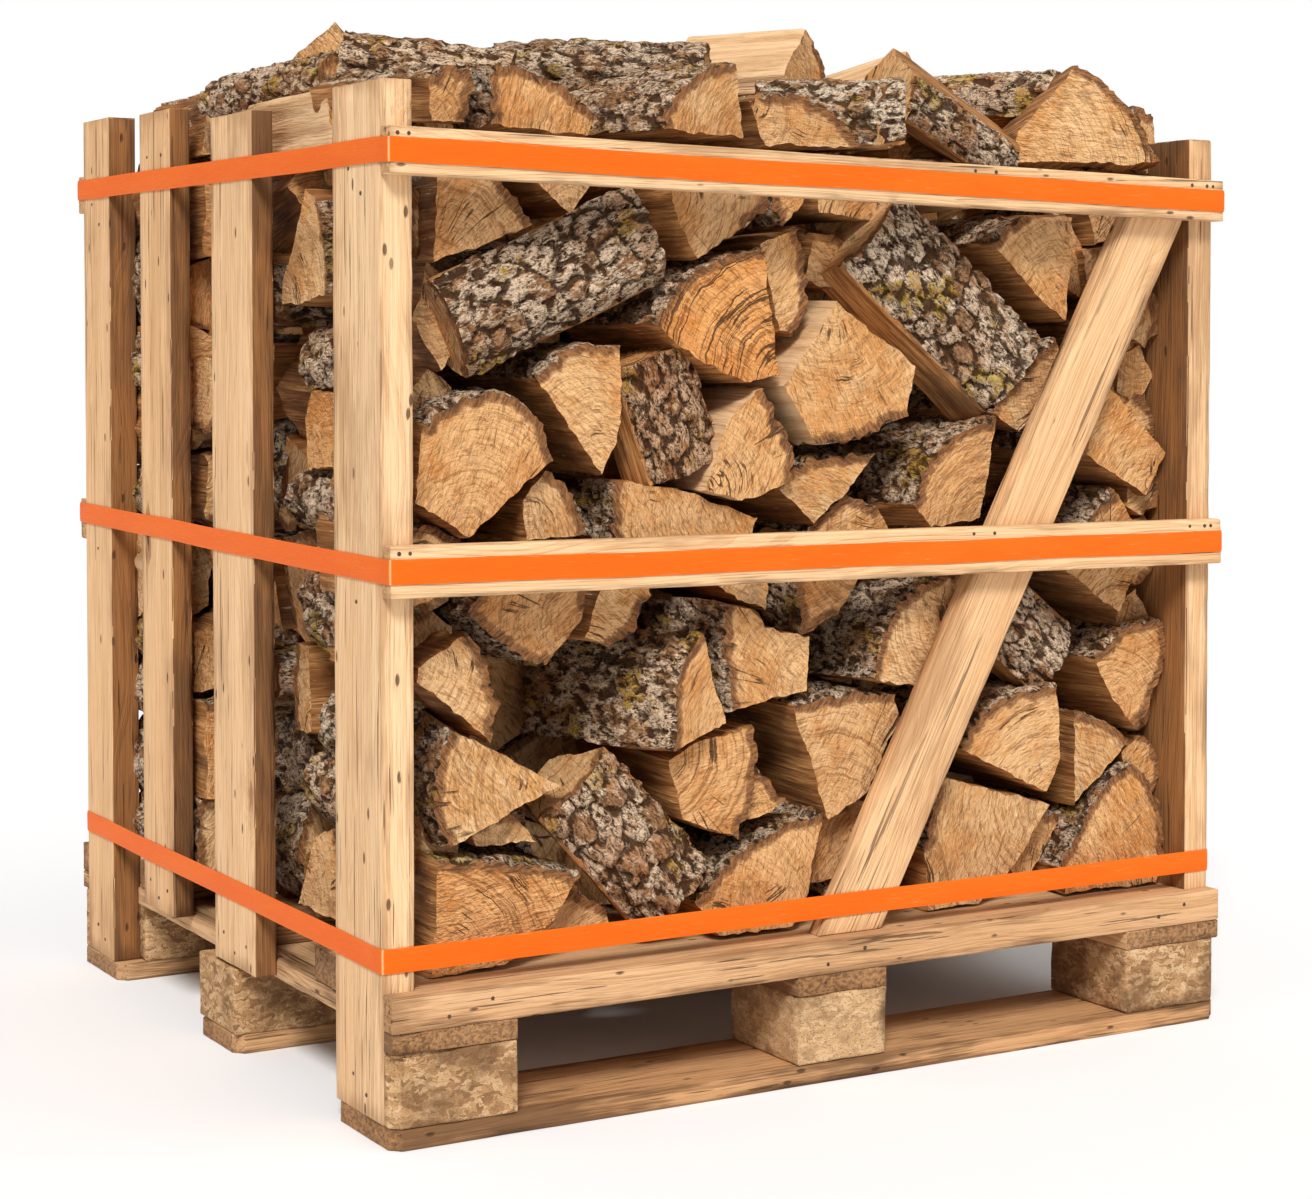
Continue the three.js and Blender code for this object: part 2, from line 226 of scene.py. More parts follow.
def noise(tree, vector, factors, piece, detail=4.0, rough=0.55, bend=0.0, output="Fac"):
    inputs = {
        "Vector": scaled(tree, vector, factors, piece), "Scale": 1.0,
        "Detail": detail, "Roughness": rough, "Distortion": bend,
    }
    return put(tree, "ShaderNodeTexNoise", inputs).outputs[output]


def spots_of(tree, vector, factors, piece):
    """Scattered cells: how far each place is from its cell's heart, and three random numbers."""
    inputs = {"Vector": scaled(tree, vector, factors, piece), "Scale": 1.0}
    cells = put(tree, "ShaderNodeTexVoronoi", inputs)
    picks = put(tree, "ShaderNodeSeparateColor", {"Color": cells.outputs["Color"]}).outputs
    return cells.outputs["Distance"], picks


def fade(tree, value, start, end, low=0.0, high=1.0):
    inputs = {"Value": value, "From Min": start, "From Max": end, "To Min": low, "To Max": high}
    return put(tree, "ShaderNodeMapRange", inputs, interpolation_type="SMOOTHSTEP").outputs[0]


def blend(tree, factor, first, second, mode="MIX"):
    made = put(tree, "ShaderNodeMix", data_type="RGBA", blend_type=mode)
    for index, value in ((0, factor), (6, first), (7, second)):
        if isinstance(value, bpy.types.NodeSocket):
            tree.links.new(value, made.inputs[index])
        else:
            made.inputs[index].default_value = value if index == 0 else (*value, 1.0)
    return made.outputs[2]


def shades(tree, value, *stops):
    made = put(tree, "ShaderNodeValToRGB", {"Fac": value})
    ramp = made.color_ramp
    for stop, (at, color) in enumerate(stops):
        element = ramp.elements[stop] if stop < 2 else ramp.elements.new(at)
        element.position = at
        element.color = (*color, 1.0)
    return made.outputs["Color"]


def start_group(name, takes, gives):
    tree = bpy.data.node_groups.new(name, "ShaderNodeTree")
    for word, kind in takes.items():
        tree.interface.new_socket(word, in_out="INPUT", socket_type="NodeSocket" + kind)
    for word, kind in gives.items():
        tree.interface.new_socket(word, in_out="OUTPUT", socket_type="NodeSocket" + kind)
    return tree, tree.nodes.new("NodeGroupInput").outputs, tree.nodes.new("NodeGroupOutput").inputs


def finished(name, group, fixed, coarse_bump, plain):
    """A material: the group's colours, roughness and height on one Principled surface."""
    made = bpy.data.materials.new(name)
    made.use_nodes = True
    tree = made.node_tree
    surface = tree.nodes["Principled BSDF"]
    for word, value in plain.items():
        surface.inputs[word].default_value = value
    effect = put(tree, "ShaderNodeGroup", node_tree=group)
    for word, value in fixed.items():
        effect.inputs[word].default_value = value
    tree.links.new(effect.outputs["Color"], surface.inputs["Base Color"])
    tree.links.new(effect.outputs["Roughness"], surface.inputs["Roughness"])
    bump = put(
        tree, "ShaderNodeBump",
        {"Height": effect.outputs["Height"], "Distance": coarse_bump, "Strength": 1.0},
    )
    tree.links.new(bump.outputs["Normal"], surface.inputs["Normal"])
    return made


surface_outputs = {"Color": "Color", "Roughness": "Float", "Height": "Float"}


def sawn_figure():
    """The look of sawn softwood: growth lines, fibres, knots, nail marks and stains."""
    takes = {"Pale": "Color", "Line": "Color", "Stain": "Color", "Age": "Float"}
    tree, given, result = start_group("sawn_figure", takes, surface_outputs)
    place = put(tree, "ShaderNodeAttribute", attribute_name="place").outputs["Vector"]
    tone = put(tree, "ShaderNodeAttribute", attribute_name="tone").outputs["Fac"]
    cut = put(tree, "ShaderNodeAttribute", attribute_name="sawn_end").outputs["Fac"]
    edge = put(tree, "ShaderNodeAttribute", attribute_name="edge").outputs["Fac"]
    piece = calc(tree, "MULTIPLY", tone, 60.0)

    # knots: scattered ovals that the growth lines bend round
    near, chosen = spots_of(tree, place, (4.6, 14.0, 14.0), piece)
    ragged = noise(tree, place, (60.0, 260.0, 260.0), piece, 2.0)
    near = calc(tree, "MULTIPLY", near, fade(tree, chosen[2], 0.0, 1.0, 0.75, 3.2))
    near = calc(tree, "ADD", near, fade(tree, ragged, 0.3, 0.7, -0.025, 0.025))
    gate = fade(tree, chosen[0], 0.85, 0.87)
    halo = calc(tree, "MULTIPLY", fade(tree, near, 0.40, 0.08), gate)
    knot = calc(tree, "MULTIPLY", fade(tree, near, 0.165, 0.135), gate)
    heart = calc(tree, "MULTIPLY", fade(tree, near, 0.095, 0.050), gate)

    # growth lines: wide arches on one side of a board, close lines on the other
    parts = put(tree, "ShaderNodeSeparateXYZ", {0: place}).outputs
    slow = noise(tree, place, (1.5, 8.0, 8.0), piece, 2.0)
    level = calc(tree, "ADD", parts[1], calc(tree, "MULTIPLY", parts[2], 0.65))
    level = calc(tree, "ADD", level, calc(tree, "MULTIPLY", slow, 0.11))
    level = calc(tree, "ADD", level, calc(tree, "MULTIPLY", halo, 0.020))
    uneven = put(
        tree, "ShaderNodeTexNoise", {"W": calc(tree, "MULTIPLY", level, 260.0), "Scale": 1.0,
                                     "Detail": 2.0, "Roughness": 0.6}, noise_dimensions="1D",
    ).outputs["Fac"]
    late = fade(tree, uneven, 0.50, 0.60)
    fibres = noise(tree, place, (9.0, 420.0, 420.0), piece, 3.0, 0.7)
    streaks = noise(tree, place, (2.6, 90.0, 90.0), piece, 4.0, 0.65)
    wide_streaks = noise(tree, place, (1.4, 20.0, 20.0), calc(tree, "ADD", piece, 3.0), 3.0)
    patches = noise(tree, place, (3.0, 9.0, 9.0), piece, 4.0, 0.65)
    color = blend(
        tree, calc(tree, "MULTIPLY", late, fade(tree, streaks, 0.34, 0.66, 0.10, 0.48)),
        given["Pale"], given["Line"],
    )
    color = blend(tree, fade(tree, fibres, 0.48, 0.64, 0.0, 0.40), color, given["Line"])
    color = blend(tree, fade(tree, streaks, 0.50, 0.70, 0.0, 0.32), color, given["Line"])
    color = blend(tree, fade(tree, wide_streaks, 0.48, 0.70, 0.0, 0.30), color, given["Line"])
    color = blend(tree, fade(tree, tone, 0.0, 1.0, 0.0, 0.55), color, (0.80, 0.62, 0.45), "MULTIPLY")
    worn = calc(tree, "ADD", patches, calc(tree, "MULTIPLY", edge, 0.15))
    worn = calc(tree, "ADD", worn, fade(tree, fibres, 0.3, 0.7, -0.06, 0.06))
    color = blend(
        tree, calc(tree, "MULTIPLY", fade(tree, worn, 0.52, 0.72), given["Age"]),
        color, given["Stain"],
    )
    # end grain drinks in dirt
    end_rings = noise(tree, place, (30.0, 150.0, 260.0), piece, 3.0)
    end_color = blend(tree, fade(tree, end_rings, 0.4, 0.62), given["Line"], given["Stain"])
    color = blend(tree, calc(tree, "MULTIPLY", cut, 0.80), color, end_color)
    color = blend(tree, calc(tree, "MULTIPLY", halo, 0.55), color, given["Line"])
    color = blend(tree, calc(tree, "MULTIPLY", knot, 0.70), color, (0.30, 0.125, 0.040))
    color = blend(tree, calc(tree, "MULTIPLY", heart, 0.90), color, (0.060, 0.024, 0.009))

    # short dark marks: old nail holes, splits, worm runs and resin ducts
    mark, pick = spots_of(tree, place, (30.0, 85.0, 85.0), piece)
    dots = calc(tree, "MULTIPLY", fade(tree, mark, 0.24, 0.12), fade(tree, pick[1], 0.92, 0.93))
    split_lines = noise(tree, place, (6.0, 210.0, 210.0), piece, 2.0)
    long_splits = calc(
        tree, "MULTIPLY", fade(tree, split_lines, 0.65, 0.68), fade(tree, wide_streaks, 0.42, 0.50)
    )
    dark = calc(tree, "MAXIMUM", dots, calc(tree, "MULTIPLY", long_splits, 0.8))
    color = blend(tree, calc(tree, "MULTIPLY", dark, 0.85), color, (0.08, 0.034, 0.013))
    tree.links.new(color, result["Color"])
    tree.links.new(fade(tree, fibres, 0.3, 0.7, 0.60, 0.80), result["Roughness"])
    height = calc(tree, "ADD", calc(tree, "MULTIPLY", fibres, 0.9), calc(tree, "MULTIPLY", late, 0.25))
    height = calc(tree, "SUBTRACT", height, calc(tree, "MULTIPLY", dark, 1.2))
    tree.links.new(calc(tree, "SUBTRACT", height, calc(tree, "MULTIPLY", knot, 0.3)), result["Height"])
    return tree


sawn = sawn_figure()
crate_pine = finished(
    "crate_pine", sawn,
    {"Pale": (0.95, 0.66, 0.385, 1), "Line": (0.64, 0.345, 0.138, 1),
     "Stain": (0.38, 0.185, 0.075, 1), "Age": 0.60},
    0.0016, {"Specular IOR Level": 0.3},
)
pallet_pine = finished(
    "pallet_pine", sawn,
    {"Pale": (0.72, 0.44, 0.225, 1), "Line": (0.43, 0.21, 0.080, 1),
     "Stain": (0.17, 0.080, 0.032, 1), "Age": 0.92},
    0.0020, {"Specular IOR Level": 0.25},
)
deck_pine = finished(
    "deck_pine", sawn,
    {"Pale": (0.82, 0.545, 0.315, 1), "Line": (0.54, 0.285, 0.115, 1),
     "Stain": (0.26, 0.125, 0.050, 1), "Age": 0.70},
    0.0018, {"Specular IOR Level": 0.25},
)
brown_pine = finished(
    "brown_pine", sawn,
    {"Pale": (0.38, 0.178, 0.062, 1), "Line": (0.22, 0.095, 0.032, 1),
     "Stain": (0.13, 0.060, 0.024, 1), "Age": 0.8},
    0.0012, {"Specular IOR Level": 0.25},
)

ALONG_X = Matrix.Identity(4)
ALONG_Y = Matrix.Rotation(math.radians(-90.0), 4, "Z")
ALONG_Z = Matrix.Rotation(math.radians(90.0), 4, "Y")
BRACE_ANGLE = math.atan2(0.864, 0.461)
boards = {
    "bottom_board_front": (ALONG_X, "pallet"), "bottom_board_middle": (ALONG_X, "pallet"),
    "bottom_board_rear": (ALONG_X, "pallet"), "deck_board_front": (ALONG_X, "pallet"),
    "deck_board_front_inner": (ALONG_X, "pallet"), "deck_board_middle": (ALONG_X, "pallet"),
    "deck_board_rear_inner": (ALONG_X, "pallet"), "deck_board_rear": (ALONG_X, "pallet"),
    "stringer_left": (ALONG_Y, "pallet"), "stringer_centre": (ALONG_Y, "pallet"),
    "stringer_right": (ALONG_Y, "pallet"), "post_front_left": (ALONG_Z, "crate"),
    "post_front_right": (ALONG_Z, "crate"), "post_rear_left": (ALONG_Z, "crate"),
    "post_rear_right": (ALONG_Z, "crate"), "slat_left_near": (ALONG_Z, "crate"),
    "slat_left_far": (ALONG_Z, "crate"), "slat_right_near": (ALONG_Z, "crate"),
    "slat_right_far": (ALONG_Z, "crate"), "rail_top_front": (ALONG_X, "crate"),
    "rail_top_rear": (ALONG_X, "crate"), "rail_middle_front": (ALONG_X, "crate"),
    "rail_middle_rear": (ALONG_X, "crate"),
    "brace_front": (Matrix.Rotation(BRACE_ANGLE, 4, "Y"), "crate"),
    "brace_rear": (Matrix.Rotation(math.pi - BRACE_ANGLE, 4, "Y"), "crate"),
}
# the tones of the boards in view; every other board takes its tone from its seed
tones = {
    "brace_front": 0.97, "slat_left_near": 0.62, "slat_left_far": 0.95, "post_rear_left": 0.99,
    "post_front_left": 0.42, "post_front_right": 0.66, "rail_top_front": 0.5,
    "rail_middle_front": 0.64, "deck_board_front": 0.9, "stringer_left": 0.15,
}
for order, (node, (turn, kind)) in enumerate(boards.items()):
    mesh = worn_solid(
        node, turn, spacings=(0.022, 0.013, 0.013), round_by=0.0016, wear=0.006, relief=0.0004,
        seed=order + 3, tone=tones.get(node),
    )
    pine = crate_pine if kind == "crate" else pallet_pine
    mesh.materials.append(deck_pine if node == "deck_board_front" else pine)
    mesh.materials.append(brown_pine)
    # the edges of the slats show darker, older wood; the inner sides of the posts, which face into the
    # crate, take the same dark wood, partly as older wood and partly as painted shade
    if node.startswith(("slat", "post")):
        sides = read_vectors(mesh.polygons, "normal")
        low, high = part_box(node)
        inward = (sides[:, :2] * -np.sign(np.add(low, high)[:2])).max(axis=1)
        dark_sides = inward > 0.8 if node.startswith("post") else np.abs(sides[:, 1]) > 0.8
        mesh.polygons.foreach_set("material_index", dark_sides.astype(np.int32))
    stand_in(node + "_board", mesh, [node])


# ---- pallet blocks ----
# Nine blocks of coarse wood chips pressed with glue. Chips of every brown show on the faces,
# their long sides lying level, and the corners crumble.
def chip_figure():
    takes = {"Pale": "Color", "Dark": "Color"}
    tree, given, result = start_group("chip_figure", takes, surface_outputs)
    place = put(tree, "ShaderNodeAttribute", attribute_name="place").outputs["Vector"]
    tone = put(tree, "ShaderNodeAttribute", attribute_name="tone").outputs["Fac"]
    piece = calc(tree, "MULTIPLY", tone, 60.0)
    warp = noise(tree, place, (70.0, 70.0, 70.0), piece, 2.0, output="Color")
    chip_place = put(
        tree, "ShaderNodeVectorMath", {0: warp, 1: (0.030, 0.030, 0.018), 2: place},
        operation="MULTIPLY_ADD",
    ).outputs[0]
    shade = spots_of(tree, chip_place, (95.0, 95.0, 240.0), piece)[1][0]
    grit = noise(tree, place, (420.0, 420.0, 700.0), piece, 3.0, 0.7)
    patches = noise(tree, place, (11.0, 11.0, 14.0), piece, 4.0, 0.65)
    color = shades(
        tree, shade, (0.0, (0.16, 0.070, 0.026)), (0.22, (0.38, 0.195, 0.080)),
        (0.6, (0.60, 0.355, 0.165)), (1.0, (0.80, 0.56, 0.32)),
    )
    color = blend(tree, 0.30, color, given["Pale"])
    color = blend(tree, fade(tree, tone, 0.3, 1.0, 0.0, 0.45), color, (0.80, 0.53, 0.28))
    color = blend(tree, fade(tree, grit, 0.53, 0.66, 0.0, 0.85), color, given["Dark"])
    color = blend(tree, fade(tree, patches, 0.46, 0.66, 0.0, 0.80), color, given["Dark"])
    tree.links.new(color, result["Color"])
    tree.links.new(fade(tree, grit, 0.3, 0.7, 0.75, 0.95), result["Roughness"])
    height = calc(tree, "ADD", shade, calc(tree, "MULTIPLY", grit, 1.2))
    tree.links.new(height, result["Height"])
    return tree


pressed_chips = finished(
    "pressed_chips", chip_figure(),
    {"Pale": (0.55, 0.325, 0.155, 1), "Dark": (0.17, 0.080, 0.034, 1)},
    0.0012, {"Specular IOR Level": 0.2},
)
blocks = [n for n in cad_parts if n.startswith("block_")]
block_tones = {"block_front_left": 0.34, "block_front_centre": 0.90, "block_front_right": 0.40}
for order, node in enumerate(sorted(blocks)):
    mesh = worn_solid(
        node, ALONG_X, spacings=(0.012, 0.012, 0.012), round_by=0.003, wear=0.012, relief=0.0011,
        seed=order + 40, tone=block_tones.get(node),
    )
    mesh.materials.append(pressed_chips)
    stand_in(node + "_chips", mesh, [node])


# ---- split logs: the shape ----
# Hardwood sawn into short lengths and split with an axe into halves, quarters and wedges. The
# sawn ends are nearly flat, the split faces follow the grain, and the bark is furrowed.
def smooth_run(points, step):
    """Points about one step apart on a smooth curve through the given ones."""
    points = np.asarray(points, float)
    if len(points) < 3:
        count = max(2, int(np.linalg.norm(points[-1] - points[0]) / step) + 1)
        return points[0] + (points[-1] - points[0]) * np.linspace(0, 1, count)[:, None]
    padded = np.vstack([points[:1], points, points[-1:]])
    run = []
    for a, b, c, d in zip(padded, padded[1:], padded[2:], padded[3:]):
        count = max(2, int(round(np.linalg.norm(c - b) / step)))
        t = np.linspace(0, 1, count, endpoint=False)[:, None]
        curve = 0.5 * (
            2 * b + (c - a) * t + (2 * a - 5 * b + 4 * c - d) * t**2 + (3 * b - a - 3 * c + d) * t**3
        )
        run.append(0.6 * curve + 0.4 * (b + (c - b) * t))
    return np.vstack(run + [points[-1:]])


def plates(places, seed):
    """How far each place is from the nearest edge between scattered cells, and which cell it is in."""
    base = np.floor(places).astype(np.int64)
    best = np.full((len(places), 2), 9.0)
    cell = np.zeros(len(places))
    zero = np.zeros(len(places), np.int64)
    for dx in (-1, 0, 1):
        for dy in (-1, 0, 1):
            at = base + (dx, dy)
            jitter = np.stack(
                [chance(at[:, 0], at[:, 1], zero, seed), chance(at[:, 0], at[:, 1], zero, seed + 5)], 1
            )
            gap = np.linalg.norm(at + jitter - places, axis=1)
            closer = gap < best[:, 0]
            cell = np.where(closer, chance(at[:, 0], at[:, 1], zero, seed + 9), cell)
            best[:, 1] = np.where(closer, best[:, 0], np.minimum(best[:, 1], gap))
            best[:, 0] = np.where(closer, gap, best[:, 0])
    return best[:, 1] - best[:, 0], cell


LOG_TURN = 0.61803


def log_parts(
    bark, split, length, seed, step, stride, place, plate_size=(0.020, 0.034), tone=None
):
    """One log's vertices, faces and the numbers its materials read. Sizes are in metres.

    step is the spacing of points round the log and stride the spacing along it. plate_size is a
    bark plate's size across and along. Tones run from 0 to 1; from 1.1 the rings are strong, and
    from 1.3 the bark is darker too.
    """
    bark = np.asarray(bark, float)
    split = np.asarray(split, float)
    run = smooth_run(bark, step) if len(bark) > 1 else np.zeros((0, 2))
    corners = [*([run[-1]] if len(run) else []), *np.asarray(split, float)]
    corners.append(run[0] if len(run) else corners[0])
    straight = []
    for a, b in zip(corners, corners[1:]):
        count = max(1, int(round(np.linalg.norm(b - a) / step)))
        straight.append(a + (b - a) * np.linspace(0, 1, count, endpoint=False)[:, None])
    ring = np.vstack([run[:-1], *straight]) if len(run) else np.vstack(straight)
    is_bark = np.zeros(len(ring), bool)
    is_bark[: max(len(run) - 1, 0)] = True
    following = np.roll(ring, -1, axis=0)
    if np.sum(ring[:, 0] * following[:, 1] - following[:, 0] * ring[:, 1]) < 0:
        ring = ring[::-1]
        is_bark = np.roll(is_bark[::-1], -1)
        following = np.roll(ring, -1, axis=0)
    edge = following - ring
    out = np.stack([edge[:, 1], -edge[:, 0]], axis=1)
    out /= np.linalg.norm(out, axis=1)[:, None] + 1e-12
    out = out + np.roll(out, 1, axis=0)
    out /= np.linalg.norm(out, axis=1)[:, None] + 1e-12
    around = np.concatenate([[0], np.cumsum(np.linalg.norm(edge, axis=1))])
    count = len(ring)
    stations = max(3, int(round(length / stride)) + 1)
    along = np.linspace(0, length, stations)

    # relief: bark plates with furrows between them, and torn fibres on the split faces
    s = np.tile(around[:-1], stations)
    w = np.repeat(along, count)
    barky = np.tile(is_bark | np.roll(is_bark, 1), stations)
    flat = np.stack([s, w, np.zeros_like(s)], axis=1)
    bent = flat[:, :2] + 0.007 * np.stack([lumps(flat * 45, seed), lumps(flat * 45, seed + 1)], 1)
    gap, cell = plates(bent / plate_size, seed)
    furrow = np.clip(1 - gap / 0.26, 0, 1) ** 1.3
    bark_relief = -0.0056 * furrow + 0.0034 * (cell - 0.6) + 0.0014 * lumps(flat * 120, seed + 2)
    bark_relief += 0.0008 * lumps(flat * 260, seed + 13)
    split_relief = (
        0.0018 * lumps(flat * (105, 7, 1), seed + 3) + 0.0026 * lumps(flat * (30, 6, 1), seed + 4)
        + 0.0006 * lumps(flat * (240, 22, 1), seed + 6)
    )
    relief = np.where(barky, bark_relief, split_relief)
    shown = np.stack([np.where(barky, furrow, 0), np.where(barky, cell, 0.5)], 1)
    end_gap = np.minimum(w, length - w)
    chipped = np.clip(1 - end_gap / 0.006, 0, 1)
    relief -= chipped * 0.0012 * (1 + lumps(flat * 150, seed + 7))
    sway = np.stack([lumps(np.stack([w * 9, w * 0, w * 0 + k], 1), seed + 8) for k in (3, 8)], 1)
    centre = ring.mean(axis=0)
    swell = 1 + 0.025 * lumps(np.stack([w * 11, w * 0, w * 0], 1), seed + 10)
    flat_ring = np.tile(ring, (stations, 1))
    section = centre + (flat_ring - centre) * swell[:, None] + sway * 0.0022 * (w / length)[:, None]
    section = section + np.tile(out, (stations, 1)) * relief[:, None]
    ragged = np.where(barky & (chipped > 0.9), 0.0022 * lumps(flat * 120, seed + 11), 0)
    tube = np.column_stack([section, w + ragged * np.where(w > length / 2, -1, 1)])

    points = [tube]
    faces = []
    sides = []
    kinds = []
    i = np.arange(count)
    j = np.roll(i, -1)
    none = np.zeros(count)
    for k in range(stations - 1):
        a, b = k * count, (k + 1) * count
        faces.append(np.stack([a + i, a + j, b + j, b + i], 1))
        near = np.full(count, along[k])
        far = np.full(count, along[k + 1])
        low, high = around[:-1], around[1:]
        corners = ((low, none, near), (high, none, near), (high, none, far), (low, none, far))
        sides.append(np.stack([np.stack(corner, 1) for corner in corners], 1))
        kinds.append(np.where(is_bark, 2, 1))

    # the sawn ends, as rings that close in on the middle
    start = len(tube)
    for station, fractions in ((0, (0.1, 0.45)), (stations - 1, (0.05, 0.12, 0.24, 0.42, 0.66))):
        outer = tube[station * count : (station + 1) * count]
        middle = outer.mean(axis=0)
        way = 1 if station else -1
        previous, before = station * count + i, outer
        for fraction in (*fractions, 1.0):
            inner = outer + (middle - outer) * fraction
            inner[:, 2] = along[station] + way * (0.0007 * lumps(inner * 110, seed + 12) - 0.0006)
            fresh = start + i if fraction < 1 else np.full(count, start)
            if fraction == 1.0:
                inner[:] = middle
            quads = [previous, np.roll(previous, -1), np.roll(fresh, -1), fresh]
            corners = [before, np.roll(before, -1, 0), np.roll(inner, -1, 0), inner]
            if way < 0:
                quads = [quads[1], quads[0], quads[3], quads[2]]
                corners = [corners[1], corners[0], corners[3], corners[2]]
            faces.append(np.stack(quads, 1))
            sides.append(np.stack(corners, 1))
            kinds.append(np.zeros(count, int))
            points.append(inner if fraction < 1 else inner[:1])
            start += len(points[-1])
            previous, before = fresh, inner
    points = np.vstack(points)
    faces = np.vstack(faces)
    kinds = np.concatenate(kinds)
    ends = kinds == 0
    sides = np.vstack(sides)
    middle = ring.mean(axis=0)
    across = run.mean(axis=0) if len(run) else middle
    gaps = np.linalg.norm(split - across, axis=1)
    pith = split[np.argmax(gaps)]
    depth = np.ones((len(faces), 4))
    if len(run):
        rim = tube[(stations - 1) * count :, :2][is_bark]
        places = sides[ends, :, :2].reshape(-1, 1, 2)
        nearest = np.linalg.norm(places - rim[None], axis=2).min(axis=1)
        depth[ends] = nearest.reshape(-1, 4)
    sides[ends, :, :2] -= pith + (pith - middle) * 0.12
    extra = np.zeros((len(points), 2))
    extra[: len(shown)] = shown
    turn = np.array(place)
    points = points @ turn[:3, :3].T + turn[:3, 3]
    tone = np.full((len(faces), 4), (seed * LOG_TURN) % 1.0 if tone is None else tone)
    return points, faces, kinds, sides, depth, tone, extra


def log_mesh(name, parts):
    """Joins the parts of one or more logs in one mesh with its end, split and bark finishes."""
    starts = np.cumsum([0] + [len(part[0]) for part in parts])
    faces = np.vstack([part[1] + start for part, start in zip(parts, starts)])
    points, kinds, wood, depth, tone, extra = [
        np.concatenate([part[item] for part in parts]) for item in (0, 2, 3, 4, 5, 6)
    ]
    fan = faces[:, 2] == faces[:, 3]
    sizes = np.where(fan, 3, 4)
    keep = np.ones(faces.shape, bool)
    keep[fan, 3] = False
    mesh = bpy.data.meshes.new(name)
    mesh.vertices.add(len(points))
    mesh.vertices.foreach_set("co", points.astype(np.float32).ravel())
    mesh.loops.add(int(sizes.sum()))
    mesh.loops.foreach_set("vertex_index", faces[keep].astype(np.int32))
    mesh.polygons.add(len(faces))
    firsts = np.concatenate([[0], np.cumsum(sizes)[:-1]])
    mesh.polygons.foreach_set("loop_start", firsts.astype(np.int32))
    mesh.polygons.foreach_set("material_index", kinds.astype(np.int32))
    mesh.polygons.foreach_set("use_smooth", np.ones(len(faces), bool))
    mesh.update(calc_edges=True)
    add_numbers(mesh, "wood", "FLOAT_VECTOR", "CORNER", wood[keep])
    add_numbers(mesh, "bark_depth", "FLOAT", "CORNER", depth[keep])
    add_numbers(mesh, "tone", "FLOAT", "CORNER", tone[keep])
    add_numbers(mesh, "furrow", "FLOAT", "POINT", extra[:, 0])
    add_numbers(mesh, "plate", "FLOAT", "POINT", extra[:, 1])
    mesh.set_sharp_from_angle(angle=math.radians(50.0))
    mesh.validate()
    return mesh


# ---- split logs: the finishes ----
# Sawn ends show rings, fine wavy fibres, drying cracks and a brown rim of inner bark. Split faces
# are streaked along the grain. Bark is grey-brown plates with lichen, and rust-brown where broken.
def wood_inputs(tree):
    wood = put(tree, "ShaderNodeAttribute", attribute_name="wood").outputs["Vector"]
    tone = put(tree, "ShaderNodeAttribute", attribute_name="tone").outputs["Fac"]
    return wood, tone, calc(tree, "MULTIPLY", tone, 60.0)


